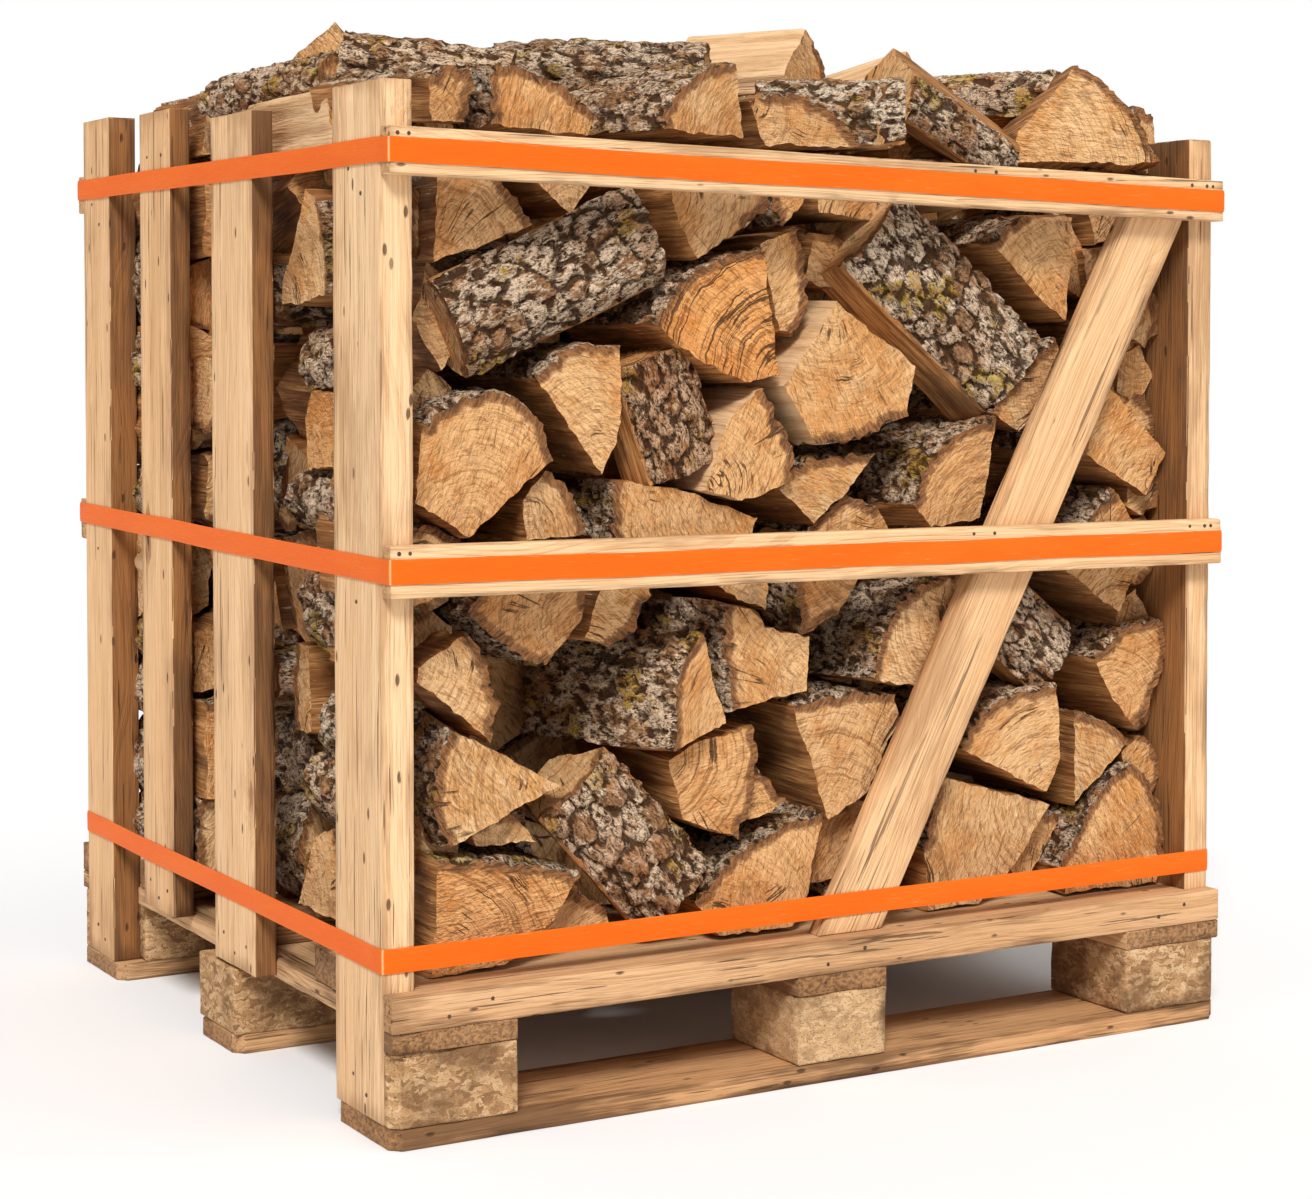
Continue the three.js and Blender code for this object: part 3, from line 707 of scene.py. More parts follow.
def end_figure():
    takes = {"Sap": "Color", "Heart": "Color", "Rim": "Color"}
    tree, given, result = start_group("end_figure", takes, surface_outputs)
    wood, tone, piece = wood_inputs(tree)
    depth = put(tree, "ShaderNodeAttribute", attribute_name="bark_depth").outputs["Fac"]
    parts = put(tree, "ShaderNodeSeparateXYZ", {0: wood}).outputs
    radius = put(
        tree, "ShaderNodeVectorMath", {0: scaled(tree, wood, (1.0, 1.0, 0.0))}, operation="LENGTH"
    ).outputs["Value"]
    chance_values = put(
        tree, "ShaderNodeTexWhiteNoise", {"W": piece}, noise_dimensions="1D"
    ).outputs
    sway = noise(tree, wood, (13.0, 13.0, 13.0), piece, 3.0, 0.6)
    fine = noise(tree, wood, (110.0, 110.0, 110.0), piece, 3.0, 0.65)
    level = calc(tree, "ADD", radius, calc(tree, "MULTIPLY", sway, 0.026))
    level = calc(tree, "ADD", level, calc(tree, "MULTIPLY", fine, 0.0040))
    angle = calc(tree, "MULTIPLY", calc(tree, "ARCTAN2", parts[1], parts[0]), 0.055)
    polar = put(tree, "ShaderNodeCombineXYZ", {0: level, 1: angle, 2: 0.0}).outputs[0]

    # growth rings of uneven width, strong on some logs and faint on others
    rings = noise(tree, polar, (170.0, 3.0, 1.0), piece, 3.0, 0.75)
    line = fade(tree, rings, 0.53, 0.62)
    strength = fade(tree, chance_values[0], 0.2, 1.0, 0.25, 0.75)
    ringed = fade(tree, tone, 1.0, 1.1)
    strength = calc(tree, "MAXIMUM", strength, calc(tree, "MULTIPLY", ringed, 0.85))
    # fibres torn up by the saw, in short waves across the face
    lean = calc(tree, "MULTIPLY", chance_values[0], 6.283)
    turned = put(
        tree, "ShaderNodeVectorRotate", {"Vector": wood, "Angle": lean}, rotation_type="Z_AXIS"
    ).outputs[0]
    torn = noise(tree, turned, (62.0, 250.0, 1.0), piece, 3.0, 0.68, 1.0)
    fibres = noise(tree, polar, (430.0, 52.0, 1.0), piece, 3.0, 0.70, 0.8)
    nicks = noise(tree, turned, (46.0, 210.0, 1.0), calc(tree, "ADD", piece, 9.0), 2.0, 0.6, 1.2)
    patches = noise(tree, wood, (13.0, 13.0, 13.0), piece, 3.0, 0.65)
    blotch = noise(tree, wood, (30.0, 30.0, 30.0), calc(tree, "ADD", piece, 7.0), 4.0, 0.65)
    color = blend(tree, fade(tree, patches, 0.40, 0.64), given["Sap"], given["Heart"])
    color = blend(tree, calc(tree, "MULTIPLY", line, strength), color, (0.34, 0.155, 0.055))
    color = blend(tree, fade(tree, fibres, 0.50, 0.64, 0.0, 0.65), color, (0.36, 0.155, 0.05))
    color = blend(tree, fade(tree, torn, 0.52, 0.66, 0.0, 0.75), color, (0.30, 0.13, 0.043))
    color = blend(tree, fade(tree, torn, 0.46, 0.34, 0.0, 0.60), color, (0.98, 0.70, 0.42))
    color = blend(tree, fade(tree, blotch, 0.55, 0.75, 0.0, 0.45), color, (0.30, 0.18, 0.10))
    color = blend(tree, fade(tree, nicks, 0.65, 0.70, 0.0, 0.60), color, (0.13, 0.056, 0.020))
    tint = shades(
        tree, chance_values[0],
        (0.0, (1.0, 0.97, 0.92)), (0.3, (0.97, 0.84, 0.70)), (0.55, (1.0, 1.0, 1.0)),
        (0.8, (0.88, 0.84, 0.80)), (1.0, (0.93, 0.74, 0.55)),
    )
    color = blend(tree, 0.9, color, tint, "MULTIPLY")
    color = blend(tree, ringed, color, (1.0, 0.80, 0.58), "MULTIPLY")
    # drying cracks: a few along the rings, a few out from the pith
    along_rings = noise(tree, polar, (62.0, 5.0, 1.0), piece, 2.0, 0.6)
    out_from_pith = noise(tree, polar, (6.0, 105.0, 1.0), calc(tree, "ADD", piece, 4.0), 2.0, 0.5)
    open_here = noise(tree, wood, (12.0, 12.0, 12.0), calc(tree, "ADD", piece, 3.0), 2.0)
    ring_gap = calc(tree, "ABSOLUTE", calc(tree, "SUBTRACT", along_rings, 0.5))
    pith_gap = calc(tree, "ABSOLUTE", calc(tree, "SUBTRACT", out_from_pith, 0.5))
    ring_crack = calc(
        tree, "MULTIPLY", fade(tree, ring_gap, 0.018, 0.006),
        calc(tree, "MAXIMUM", fade(tree, open_here, 0.60, 0.66), ringed),
    )
    pith_crack = calc(
        tree, "MULTIPLY", fade(tree, pith_gap, 0.020, 0.006), fade(tree, open_here, 0.40, 0.34)
    )
    crack = calc(tree, "MAXIMUM", ring_crack, pith_crack)
    color = blend(tree, calc(tree, "MULTIPLY", crack, 0.85), color, (0.06, 0.025, 0.010))
    # the rim of inner bark and the dark line beside it
    rough_depth = calc(tree, "ADD", depth, fade(tree, fine, 0.3, 0.7, -0.0018, 0.0018))
    rim = fade(tree, rough_depth, 0.0084, 0.0072)
    border = calc(tree, "MULTIPLY", fade(tree, rough_depth, 0.0115, 0.0088), 0.60)
    color = blend(tree, border, color, (0.15, 0.06, 0.022))
    rim_color = blend(tree, fade(tree, torn, 0.40, 0.60), given["Rim"], (0.15, 0.065, 0.028))
    color = blend(tree, rim, color, rim_color)
    tree.links.new(color, result["Color"])
    tree.links.new(fade(tree, fibres, 0.35, 0.7, 0.68, 0.9), result["Roughness"])
    height = calc(tree, "MULTIPLY", fine, 0.5)
    for hollow, deep in ((fibres, 0.5), (torn, 1.1), (nicks, 0.8), (crack, 1.6)):
        height = calc(tree, "SUBTRACT", height, calc(tree, "MULTIPLY", hollow, deep))
    tree.links.new(height, result["Height"])
    return tree


def split_figure():
    takes = {"Pale": "Color", "Brown": "Color"}
    tree, given, result = start_group("split_figure", takes, surface_outputs)
    wood, tone, piece = wood_inputs(tree)
    fibres = noise(tree, wood, (300.0, 1.0, 11.0), piece, 3.0, 0.7)
    streaks = noise(tree, wood, (75.0, 1.0, 5.0), piece, 4.0, 0.65, 0.5)
    patches = noise(tree, wood, (17.0, 1.0, 8.0), piece, 3.0, 0.65)
    color = blend(tree, fade(tree, streaks, 0.38, 0.62), given["Pale"], given["Brown"])
    color = blend(tree, fade(tree, fibres, 0.47, 0.64, 0.0, 0.75), color, (0.20, 0.088, 0.030))
    color = blend(tree, fade(tree, patches, 0.48, 0.68, 0.0, 0.75), color, (0.145, 0.070, 0.030))
    splinters = noise(tree, wood, (340.0, 1.0, 26.0), calc(tree, "ADD", piece, 5.0), 2.0)
    color = blend(tree, fade(tree, splinters, 0.66, 0.72, 0.0, 0.8), color, (0.86, 0.60, 0.35))
    tint = shades(
        tree, tone,
        (0.0, (1.0, 0.95, 0.9)), (0.5, (0.70, 0.60, 0.50)), (1.0, (0.95, 0.82, 0.70)),
    )
    color = blend(tree, 0.8, color, tint, "MULTIPLY")
    # a few logs are clean pale sapwood right through
    clean = blend(tree, fade(tree, streaks, 0.40, 0.66), (0.90, 0.60, 0.34), (0.70, 0.41, 0.19))
    clean = blend(tree, fade(tree, patches, 0.56, 0.70, 0.0, 0.5), clean, (0.52, 0.28, 0.12))
    color = blend(tree, fade(tree, tone, 0.09, 0.06, 0.0, 0.85), color, clean)
    tree.links.new(color, result["Color"])
    tree.links.new(fade(tree, fibres, 0.3, 0.7, 0.62, 0.85), result["Roughness"])
    height = calc(tree, "ADD", fibres, calc(tree, "MULTIPLY", streaks, 1.8))
    tree.links.new(height, result["Height"])
    return tree


def bark_figure():
    takes = {"Plate": "Color", "Furrow": "Color", "Lichen": "Color"}
    tree, given, result = start_group("bark_figure", takes, surface_outputs)
    wood, tone, piece = wood_inputs(tree)
    furrow = put(tree, "ShaderNodeAttribute", attribute_name="furrow").outputs["Fac"]
    plate = put(tree, "ShaderNodeAttribute", attribute_name="plate").outputs["Fac"]
    flakes = noise(tree, wood, (190.0, 1.0, 120.0), piece, 4.0, 0.72)
    scales = noise(tree, wood, (85.0, 1.0, 52.0), piece, 3.0, 0.62, 0.6)
    patches = noise(tree, wood, (15.0, 1.0, 11.0), piece, 3.0, 0.6)
    cut = calc(tree, "ADD", furrow, fade(tree, scales, 0.3, 0.7, 0.34, -0.34))
    cut = calc(tree, "ADD", cut, fade(tree, flakes, 0.3, 0.7, 0.22, -0.22))
    cut = fade(tree, cut, 0.32, 0.78)
    cracks = noise(tree, wood, (150.0, 1.0, 52.0), calc(tree, "ADD", piece, 2.0), 3.0, 0.6, 0.8)
    cracks = fade(tree, calc(tree, "ABSOLUTE", calc(tree, "SUBTRACT", cracks, 0.5)), 0.022, 0.006)
    color = blend(tree, fade(tree, flakes, 0.34, 0.64), given["Furrow"], given["Plate"])
    color = blend(tree, fade(tree, plate, 0.55, 0.95, 0.0, 0.55), color, (0.38, 0.195, 0.095))
    crust = calc(tree, "ADD", fade(tree, scales, 0.36, 0.64), fade(tree, plate, 0.0, 1.0, 0.45, -0.35))
    crust = calc(tree, "ADD", crust, fade(tree, patches, 0.3, 0.7, -0.40, 0.55))
    crust = calc(tree, "MULTIPLY", fade(tree, crust, 0.15, 0.75), fade(tree, flakes, 0.38, 0.52))
    grain = noise(tree, wood, (480.0, 1.0, 480.0), piece, 2.0, 0.6)
    pale = blend(tree, fade(tree, grain, 0.48, 0.66), given["Lichen"], (0.50, 0.37, 0.26))
    color = blend(tree, calc(tree, "MULTIPLY", crust, 0.92), color, pale)
    moss_here = noise(tree, wood, (20.0, 1.0, 16.0), calc(tree, "ADD", piece, 11.0), 3.0, 0.6)
    moss = calc(tree, "MULTIPLY", fade(tree, moss_here, 0.57, 0.63), fade(tree, flakes, 0.42, 0.56))
    color = blend(tree, calc(tree, "MULTIPLY", moss, 0.85), color, (0.50, 0.32, 0.022))
    rust_here = noise(tree, wood, (19.0, 1.0, 24.0), calc(tree, "ADD", piece, 17.0), 3.0, 0.6)
    rust = calc(tree, "MULTIPLY", fade(tree, rust_here, 0.54, 0.63), fade(tree, flakes, 0.40, 0.6))
    color = blend(tree, calc(tree, "MULTIPLY", rust, 0.7), color, (0.46, 0.215, 0.09))
    dark = calc(tree, "MAXIMUM", cut, calc(tree, "MULTIPLY", cracks, 0.75))
    color = blend(tree, calc(tree, "MULTIPLY", dark, 0.90), color, given["Furrow"])
    tint = shades(
        tree, tone,
        (0.0, (1.0, 0.99, 0.96)), (0.5, (0.86, 0.80, 0.74)), (1.0, (1.0, 0.90, 0.80)),
    )
    color = blend(tree, 1.0, color, tint, "MULTIPLY")
    color = blend(tree, fade(tree, tone, 1.2, 1.3), color, (0.78, 0.68, 0.60), "MULTIPLY")
    tree.links.new(color, result["Color"])
    tree.links.new(fade(tree, flakes, 0.3, 0.7, 0.80, 0.95), result["Roughness"])
    height = calc(tree, "ADD", flakes, scales)
    height = calc(tree, "SUBTRACT", height, calc(tree, "MULTIPLY", dark, 0.9))
    tree.links.new(height, result["Height"])
    return tree


sawn_end = finished(
    "sawn_end", end_figure(),
    {"Sap": (0.90, 0.56, 0.27, 1), "Heart": (0.76, 0.37, 0.125, 1), "Rim": (0.40, 0.17, 0.058, 1)},
    0.0036, {"Specular IOR Level": 0.2},
)
split_face = finished(
    "split_face", split_figure(),
    {"Pale": (0.69, 0.36, 0.135, 1), "Brown": (0.35, 0.145, 0.044, 1)},
    0.0032, {"Specular IOR Level": 0.25},
)
rough_bark = finished(
    "rough_bark", bark_figure(),
    {"Plate": (0.52, 0.31, 0.165, 1), "Furrow": (0.060, 0.026, 0.010, 1),
     "Lichen": (0.86, 0.70, 0.53, 1)},
    0.0055, {"Specular IOR Level": 0.15},
)


def add_logs(name, parts, nodes):
    mesh = log_mesh(name, parts)
    for material in (sawn_end, split_face, rough_bark):
        mesh.materials.append(material)
    stand_in(name, mesh, nodes)


# ---- split logs: the front of the stack ----
# One entry to a log that shows at the front: how far its end is set back, its bark as a run of
# points, the corners of its split faces (X, Z in millimetres), how far it swings to the left.
LOG_FRONT = -451.0
LOG_LENGTH = 235.0
end_on = {
    "log_ringed_quarter": (4, [(-215, 851), (-178, 900), (-128, 924), (-74, 936)],
                           [(-50, 792), (-97, 788), (-155, 810)], 0),
    "log_left_middle": (8, [(-338, 703), (-352, 748), (-395, 778), (-450, 772), (-491, 746)],
                        [(-500, 662), (-437, 625)], 0),
    "log_pale_centre": (4, [(-1, 714), (40, 716), (85, 727), (125, 745)],
                        [(138, 803), (26, 877), (-47, 781)], 0),
    "log_upper_right": (10, [(246, 948), (268, 968), (300, 983)],
                        [(372, 982), (362, 855), (300, 898)], 0),
    "log_right_middle": (8, [(383, 698), (386, 750), (408, 794)], [(516, 694), (486, 640)], 0),
    "log_bark_left_centre": (6, [(-212, 382), (-206, 448), (-190, 490), (-160, 509)],
                             [(-122, 405)], 18),
    "log_wedge_left": (4, [(-461, 426), (-480, 385), (-483, 340), (-468, 298)], [(-328, 353)], 0),
    "log_bottom_left": (6, [(-476, 289), (-420, 284), (-360, 274), (-299, 257)],
                        [(-340, 205), (-395, 165), (-485, 162)], 0),
    "log_centre_low": (12, [(-77, 401), (-73, 360), (-82, 312), (-101, 273)],
                       [(-176, 301), (-192, 370), (-160, 386)], 0),
    "log_beside_brace": (8, [(-32, 424), (20, 431), (72, 430), (112, 424)],
                         [(117, 396), (75, 312), (18, 283)], 0),
    "log_quarter_right": (6, [(200, 352), (222, 388), (270, 412), (346, 421)],
                          [(350, 330), (330, 290)], 0),
    "log_bottom_right": (6, [(351, 195), (390, 258), (459, 315), (508, 262), (516, 196)],
                         [(500, 163), (360, 163)], 0),
    "log_top_left": (12, [(-276, 1075), (-313, 1103), (-358, 1121), (-412, 1125), (-413, 1060)],
                     [(-294, 1053)], 0),
    "log_top_bark": (8, [(-228, 1060), (-216, 1092), (-186, 1118), (-150, 1135), (-110, 1143)],
                     [(-97, 1057)], 14),
    "log_top_middle": (10, [(62, 1052), (40, 1080), (6, 1102), (-38, 1112), (-72, 1108)],
                       [(-92, 1100), (-68, 1050)], 0),
    "log_top_wedge": (20, [(82, 1104), (95, 1131)], [(147, 1112), (108, 1057), (86, 1057)], 8),
    "log_top_nub": (60, [(490, 1100), (510, 1124), (538, 1116)], [(540, 1074), (502, 1062)], 0),
    # smaller logs with no node of their own
    "log_upper_left": (10, [(-358, 955), (-382, 988), (-408, 1012)],
                       [(-470, 1018), (-474, 912), (-424, 929)], -4),
    "log_upper_wedge": (16, [(-62, 1000), (-56, 984), (-86, 962)],
                        [(-153, 925), (-190, 986), (-186, 1004)], 3),
    "log_upper_small": (30, [(-54, 1000), (-50, 985), (-34, 962)], [(-4, 990), (-2, 1003)], 0),
    "log_upper_right_of_ringed": (22, [(-14, 962), (0, 900), (-4, 860), (-17, 836)],
                                  [(-42, 842), (-66, 940)], 0),
    "log_hanging_quarter": (18, [(-353, 793), (-330, 816), (-290, 830), (-249, 829)],
                            [(-247, 745), (-256, 718), (-272, 686)], 0),
    "log_mid_left_wedge": (24, [(-288, 622), (-288, 650), (-312, 682), (-339, 696)],
                           [(-366, 662), (-362, 618)], 0),
    "log_mid_quarter": (10, [(-34, 672), (-30, 705), (-48, 748), (-72, 782)],
                        [(-122, 742), (-148, 668), (-100, 654)], 0),
    "log_mid_long": (26, [(-258, 612), (-258, 650), (-256, 681)],
                     [(-168, 668), (-68, 633), (-82, 606)], 0),
    "log_mid_small_left": (30, [(-505, 640), (-470, 640), (-438, 626)], [(-436, 566), (-500, 552)], 0),
    "log_mid_bark_right": (14, [(134, 640), (150, 688), (200, 724), (262, 743)],
                           [(236, 620), (160, 612)], 4),
    "log_mid_wedge": (24, [(-54, 673), (10, 702), (94, 703)], [(50, 656), (7, 622)], 0),
    "log_mid_sliver": (34, [(2, 612), (52, 654), (104, 642)], [(118, 612)], 0),
    "log_behind_brace_high": (20, [(258, 748), (292, 792), (352, 838)], [(384, 790), (300, 724)], 0),
    "log_right_high_small": (40, [(455, 884), (484, 880), (498, 818)], [(432, 810), (420, 850)], 0),
    "log_right_bark_small": (44, [(440, 778), (470, 796), (512, 790)], [(508, 730), (480, 742)], 0),
    "log_right_tucked": (16, [(362, 562), (385, 606), (440, 655)],
                         [(480, 606), (476, 558), (450, 496)], 0),
    "log_right_round": (52, [(464, 504), (464, 540), (478, 549), (488, 522)], [(485, 500)], 0),
    "log_right_large": (10, [(470, 352), (500, 388), (522, 440), (516, 488), (450, 480), (401, 446)],
                        [(437, 388)], 0),
    "log_right_pale": (14, [(385, 383), (430, 370), (470, 345)], [(424, 300), (384, 266)], -3),
    "log_right_nub": (60, [(462, 336), (480, 352), (510, 344)], [(512, 286), (486, 292)], 0),
    "log_low_right": (16, [(155, 236), (178, 322)],
                      [(230, 306), (341, 272), (290, 205), (236, 163), (164, 164)], 0),
    "log_low_bark_right": (46, [(300, 206), (336, 262), (392, 256)], [(356, 206), (330, 166)], 0),
    "log_left_round": (10, [(-413, 405), (-402, 445), (-414, 490), (-440, 522)],
                       [(-497, 490), (-498, 474)], 0),
    "log_below_rail_left": (12, [(-295, 548), (-300, 590), (-350, 603), (-405, 592), (-440, 545),
                                 (-400, 506), (-345, 477)],
                            [(-330, 500), (-303, 526)], 0),
    "log_below_rail_small": (20, [(-212, 545), (-232, 512), (-262, 498)],
                             [(-296, 508), (-264, 586), (-216, 584)], 0),
    "log_square_pale": (12, [(-117, 417), (-127, 470), (-128, 541)],
                        [(-82, 530), (-70, 510), (-6, 495), (-9, 433)], 6),
    "log_below_rail_centre": (14, [(-22, 596), (-26, 555), (-15, 500), (35, 522)],
                              [(66, 560), (64, 598)], 0),
    "log_dark_behind": (40, [(-122, 560), (-96, 590), (-46, 574)], [(-48, 522), (-70, 532)], 0),
    "log_bark_beside_brace": (10, [(68, 440), (84, 500), (120, 540), (182, 562)],
                              [(216, 520), (186, 452), (134, 428)], 6),
    "log_low_nub_left": (30, [(-430, 312), (-400, 330), (-372, 322)], [(-347, 290), (-420, 292)], 0),
    "log_low_small": (50, [(-344, 166), (-335, 206), (-295, 236), (-252, 202)], [(-240, 164)], 0),
    "log_low_quarter": (10, [(-162, 206), (-112, 250), (-50, 279), (12, 294)],
                        [(-8, 206), (-30, 163), (-128, 163)], 0),
    "log_low_wedge": (26, [(-70, 355), (-44, 326), (-26, 304)], [(-64, 287), (-90, 291)], 0),
    "log_low_sliver": (36, [(0, 206), (14, 290), (64, 296)], [(92, 240), (60, 206)], 0),
    "log_right_top": (44, [(404, 1040), (470, 1048), (514, 1040)], [(514, 968), (430, 950)], 0),
    "log_right_under_top": (58, [(514, 962), (514, 898), (480, 886)], [(432, 884), (420, 944)], 0),
    "log_right_behind": (70, [(400, 900), (380, 950), (398, 1000)], [(440, 930), (428, 884)], 0),
    "log_right_post_high": (60, [(514, 806), (514, 880), (470, 876)], [(440, 806)], 0),
    "log_under_rail_left": (40, [(-352, 1046), (-300, 1040), (-270, 1008)],
                            [(-300, 968), (-348, 1006)], 0),
    "log_under_rail_centre": (36, [(0, 1046), (60, 1048), (112, 1040)], [(96, 972), (20, 980)], 0),
    "log_under_rail_right": (48, [(126, 1044), (210, 1046), (286, 1040)], [(250, 990), (150, 996)], 0),
    "log_behind_ringed": (60, [(30, 960), (90, 950), (126, 900)], [(70, 890), (16, 900)], 0),
    "log_low_brown": (44, [(60, 300), (30, 240), (44, 170)], [(150, 166), (140, 290)], 0),
}


UPRIGHT = Matrix(((1, 0, 0, 0), (0, 0, -1, 0), (0, 1, 0, 0), (0, 0, 0, 1)))


def facing_front(front, hinge, yaw, length):
    """Lays a log's section (X, up) at the front, its length running to the rear."""
    swing = Matrix.Rotation(math.radians(yaw), 4, "Z")
    to_hinge = Matrix.Translation((-hinge, length, 0))
    return Matrix.Translation((hinge, front, 0)) @ swing @ to_hinge @ UPRIGHT


small_logs = {"high": [], "middle": [], "low": []}
for order, (name, (back, bark, split, yaw)) in enumerate(end_on.items()):
    bark = np.array(bark, float) * MM
    split = np.array(split, float) * MM
    hinge = max(bark[:, 0].max(), split[:, 0].max())
    place = facing_front((LOG_FRONT + back) * MM, hinge, yaw, LOG_LENGTH * MM)
    tone = 1.15 if name == "log_ringed_quarter" else None
    parts = log_parts(
        bark, split, LOG_LENGTH * MM, order + 100, 0.006, 0.009, place, tone=tone
    )
    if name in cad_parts:
        add_logs(name + "_split", [parts], [name])
    else:
        level = bark[:, 1].mean()
        small_logs["high" if level > 0.66 else "middle" if level > 0.4 else "low"].append(parts)
for level, group in small_logs.items():
    add_logs("logs_front_" + level, group, ["logs_inside"])


# Logs that lie across the front with their bark outwards: how far back, the middle of the bark
# (X, Z), the slope in degrees, the length, the bark and the corners (across the log, depth).
lying = {
    "log_bark_upper_left": (2, (-333, 899), 24, 262,
                            [(58, 22), (35, 4), (0, 0), (-38, 6), (-60, 28)], [(-20, 118), (24, 112)]),
    "log_bark_upper_right": (2, (190, 880), -39.5, 268,
                             [(58, 20), (32, 3), (0, 0), (-35, 5), (-61, 26)], [(-78, 72), (38, 104)]),
    "log_bark_lower_centre": (3, (-238, 283), -47, 190,
                              [(56, 22), (30, 4), (0, 0), (-34, 5), (-58, 24)],
                              [(-40, 100), (20, 110)]),
    "log_top_leaning": (14, (222, 1090), -27, 172,
                        [(12, 10), (-6, 2), (-28, 2), (-42, 12)], [(-34, 70), (20, 130), (56, 92)]),
    "log_bark_centre": (8, (-183, 752), -70, 138,
                        [(50, 20), (25, 4), (0, 0), (-25, 4), (-48, 18)], [(-58, 60), (0, 100)]),
    "log_bark_right_low": (14, (306, 490), -38, 150,
                           [(50, 24), (26, 5), (0, 0), (-26, 4), (-50, 20)], [(-52, 60), (10, 100)]),
}


def lying_across(front, centre, slope, length):
    """Lays a log's section (across, depth) so that its length runs across the front at a slope."""
    turn = math.radians(slope)
    along = Vector((math.cos(turn), 0, math.sin(turn)))
    across = Vector((-math.sin(turn), 0, math.cos(turn)))
    axes = Matrix((across, Vector((0, 1, 0)), -along)).transposed().to_4x4()
    start = Vector((centre[0], front, centre[1])) + along * (length / 2)
    return Matrix.Translation(start) @ axes


across_front = []
for order, (name, (back, centre, slope, length, bark, split)) in enumerate(lying.items()):
    place = lying_across(
        (LOG_FRONT + back) * MM, (centre[0] * MM, centre[1] * MM), slope, length * MM
    )
    parts = log_parts(
        np.array(bark, float) * MM, np.array(split, float) * MM, length * MM,
        order + 200, 0.0032, 0.0042, place, (0.027, 0.032),
        1.3 if name == "log_bark_centre" else None,
    )
    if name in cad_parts:
        add_logs(name + "_split", [parts], [name])
    else:
        across_front.append(parts)
add_logs("logs_front_across", across_front, ["logs_inside"])


# ---- split logs: the sides, the back and the middle of the stack ----
# The rest of the stack is tumbled in: most logs end-on to the side they show at, and some with
# their bark outwards. Inside, the logs only have to close the view through the gaps.
def cells(wide, high, spacing, seed):
    """Many-sided cells that fill a rectangle, each round one point of a shaken grid."""
    rng = np.random.default_rng(seed)
    columns = max(1, round(wide / spacing))
    rows = max(1, round(high / spacing))
    seeds = [
        ((column + 0.5 + 0.25 * (row % 2) + rng.uniform(-0.3, 0.3)) * wide / (columns + 0.25),
         (row + 0.5 + rng.uniform(-0.3, 0.3)) * high / rows)
        for row in range(rows) for column in range(columns)
    ]
    seeds = np.array(seeds)
    found = []
    for point in seeds:
        cell = [np.array(p, float) for p in ((0, 0), (wide, 0), (wide, high), (0, high))]
        for other in seeds[np.argsort(np.linalg.norm(seeds - point, axis=1))[1:16]]:
            middle = (point + other) / 2
            away = other - point
            kept = []
            for p, q in zip(cell, cell[1:] + cell[:1]):
                side_p, side_q = (p - middle) @ away, (q - middle) @ away
                if side_p <= 0:
                    kept.append(p)
                if side_p * side_q < 0:
                    kept.append(p + (q - p) * side_p / (side_p - side_q))
            cell = kept
        tidy = [p for p, q in zip(cell, cell[1:] + cell[:1]) if np.linalg.norm(q - p) > spacing * 0.16]
        if len(tidy) >= 3:
            found.append(np.array(tidy))
    return found


def cut_wedge(cell, rng, gap):
    """A cell as a split log: bark on some sides, split faces meeting at its sharpest corner."""
    centre = cell.mean(axis=0)
    reach = np.linalg.norm(cell - centre, axis=1)[:, None]
    cell = centre + (cell - centre) * (1 - gap / reach)
    before = np.roll(cell, 1, 0) - cell
    after = np.roll(cell, -1, 0) - cell
    lengths = np.linalg.norm(before, axis=1) * np.linalg.norm(after, axis=1)
    sharp = np.argmax((before * after).sum(axis=1) / lengths)
    cell = np.roll(cell, -sharp, axis=0)
    choice = rng.integers(3)
    if len(cell) > 4 and choice == 1:
        return cell[2:], cell[:2]
    if len(cell) > 4 and choice == 2:
        return cell[1:-1], np.stack([cell[-1], cell[0]])
    return cell[1:], cell[:1]


def laid(middle, heading, tilt, roll, length):
    """Lays a log down: heading 0 points to the rear, tilt lifts its far end, roll turns it."""
    turn = Matrix.Rotation(math.radians(heading), 4, "Z")
    lift = Matrix.Rotation(math.radians(tilt), 4, "X")
    spin = Matrix.Rotation(math.radians(roll), 4, "Y")
    centred = Matrix.Translation((0, length / 2, 0)) @ UPRIGHT
    return Matrix.Translation(middle) @ turn @ lift @ spin @ centred


def half_round(wide, thick):
    """A bark-covered slab facing -X, split flat on the other side."""
    bark = [(0.05 * thick, 0.5 * wide), (-0.28 * thick, 0.34 * wide), (-0.42 * thick, 0.0),
            (-0.30 * thick, -0.32 * wide), (0.02 * thick, -0.5 * wide)]
    return np.array(bark), np.array([(0.5 * thick, -0.3 * wide), (0.55 * thick, 0.28 * wide)])


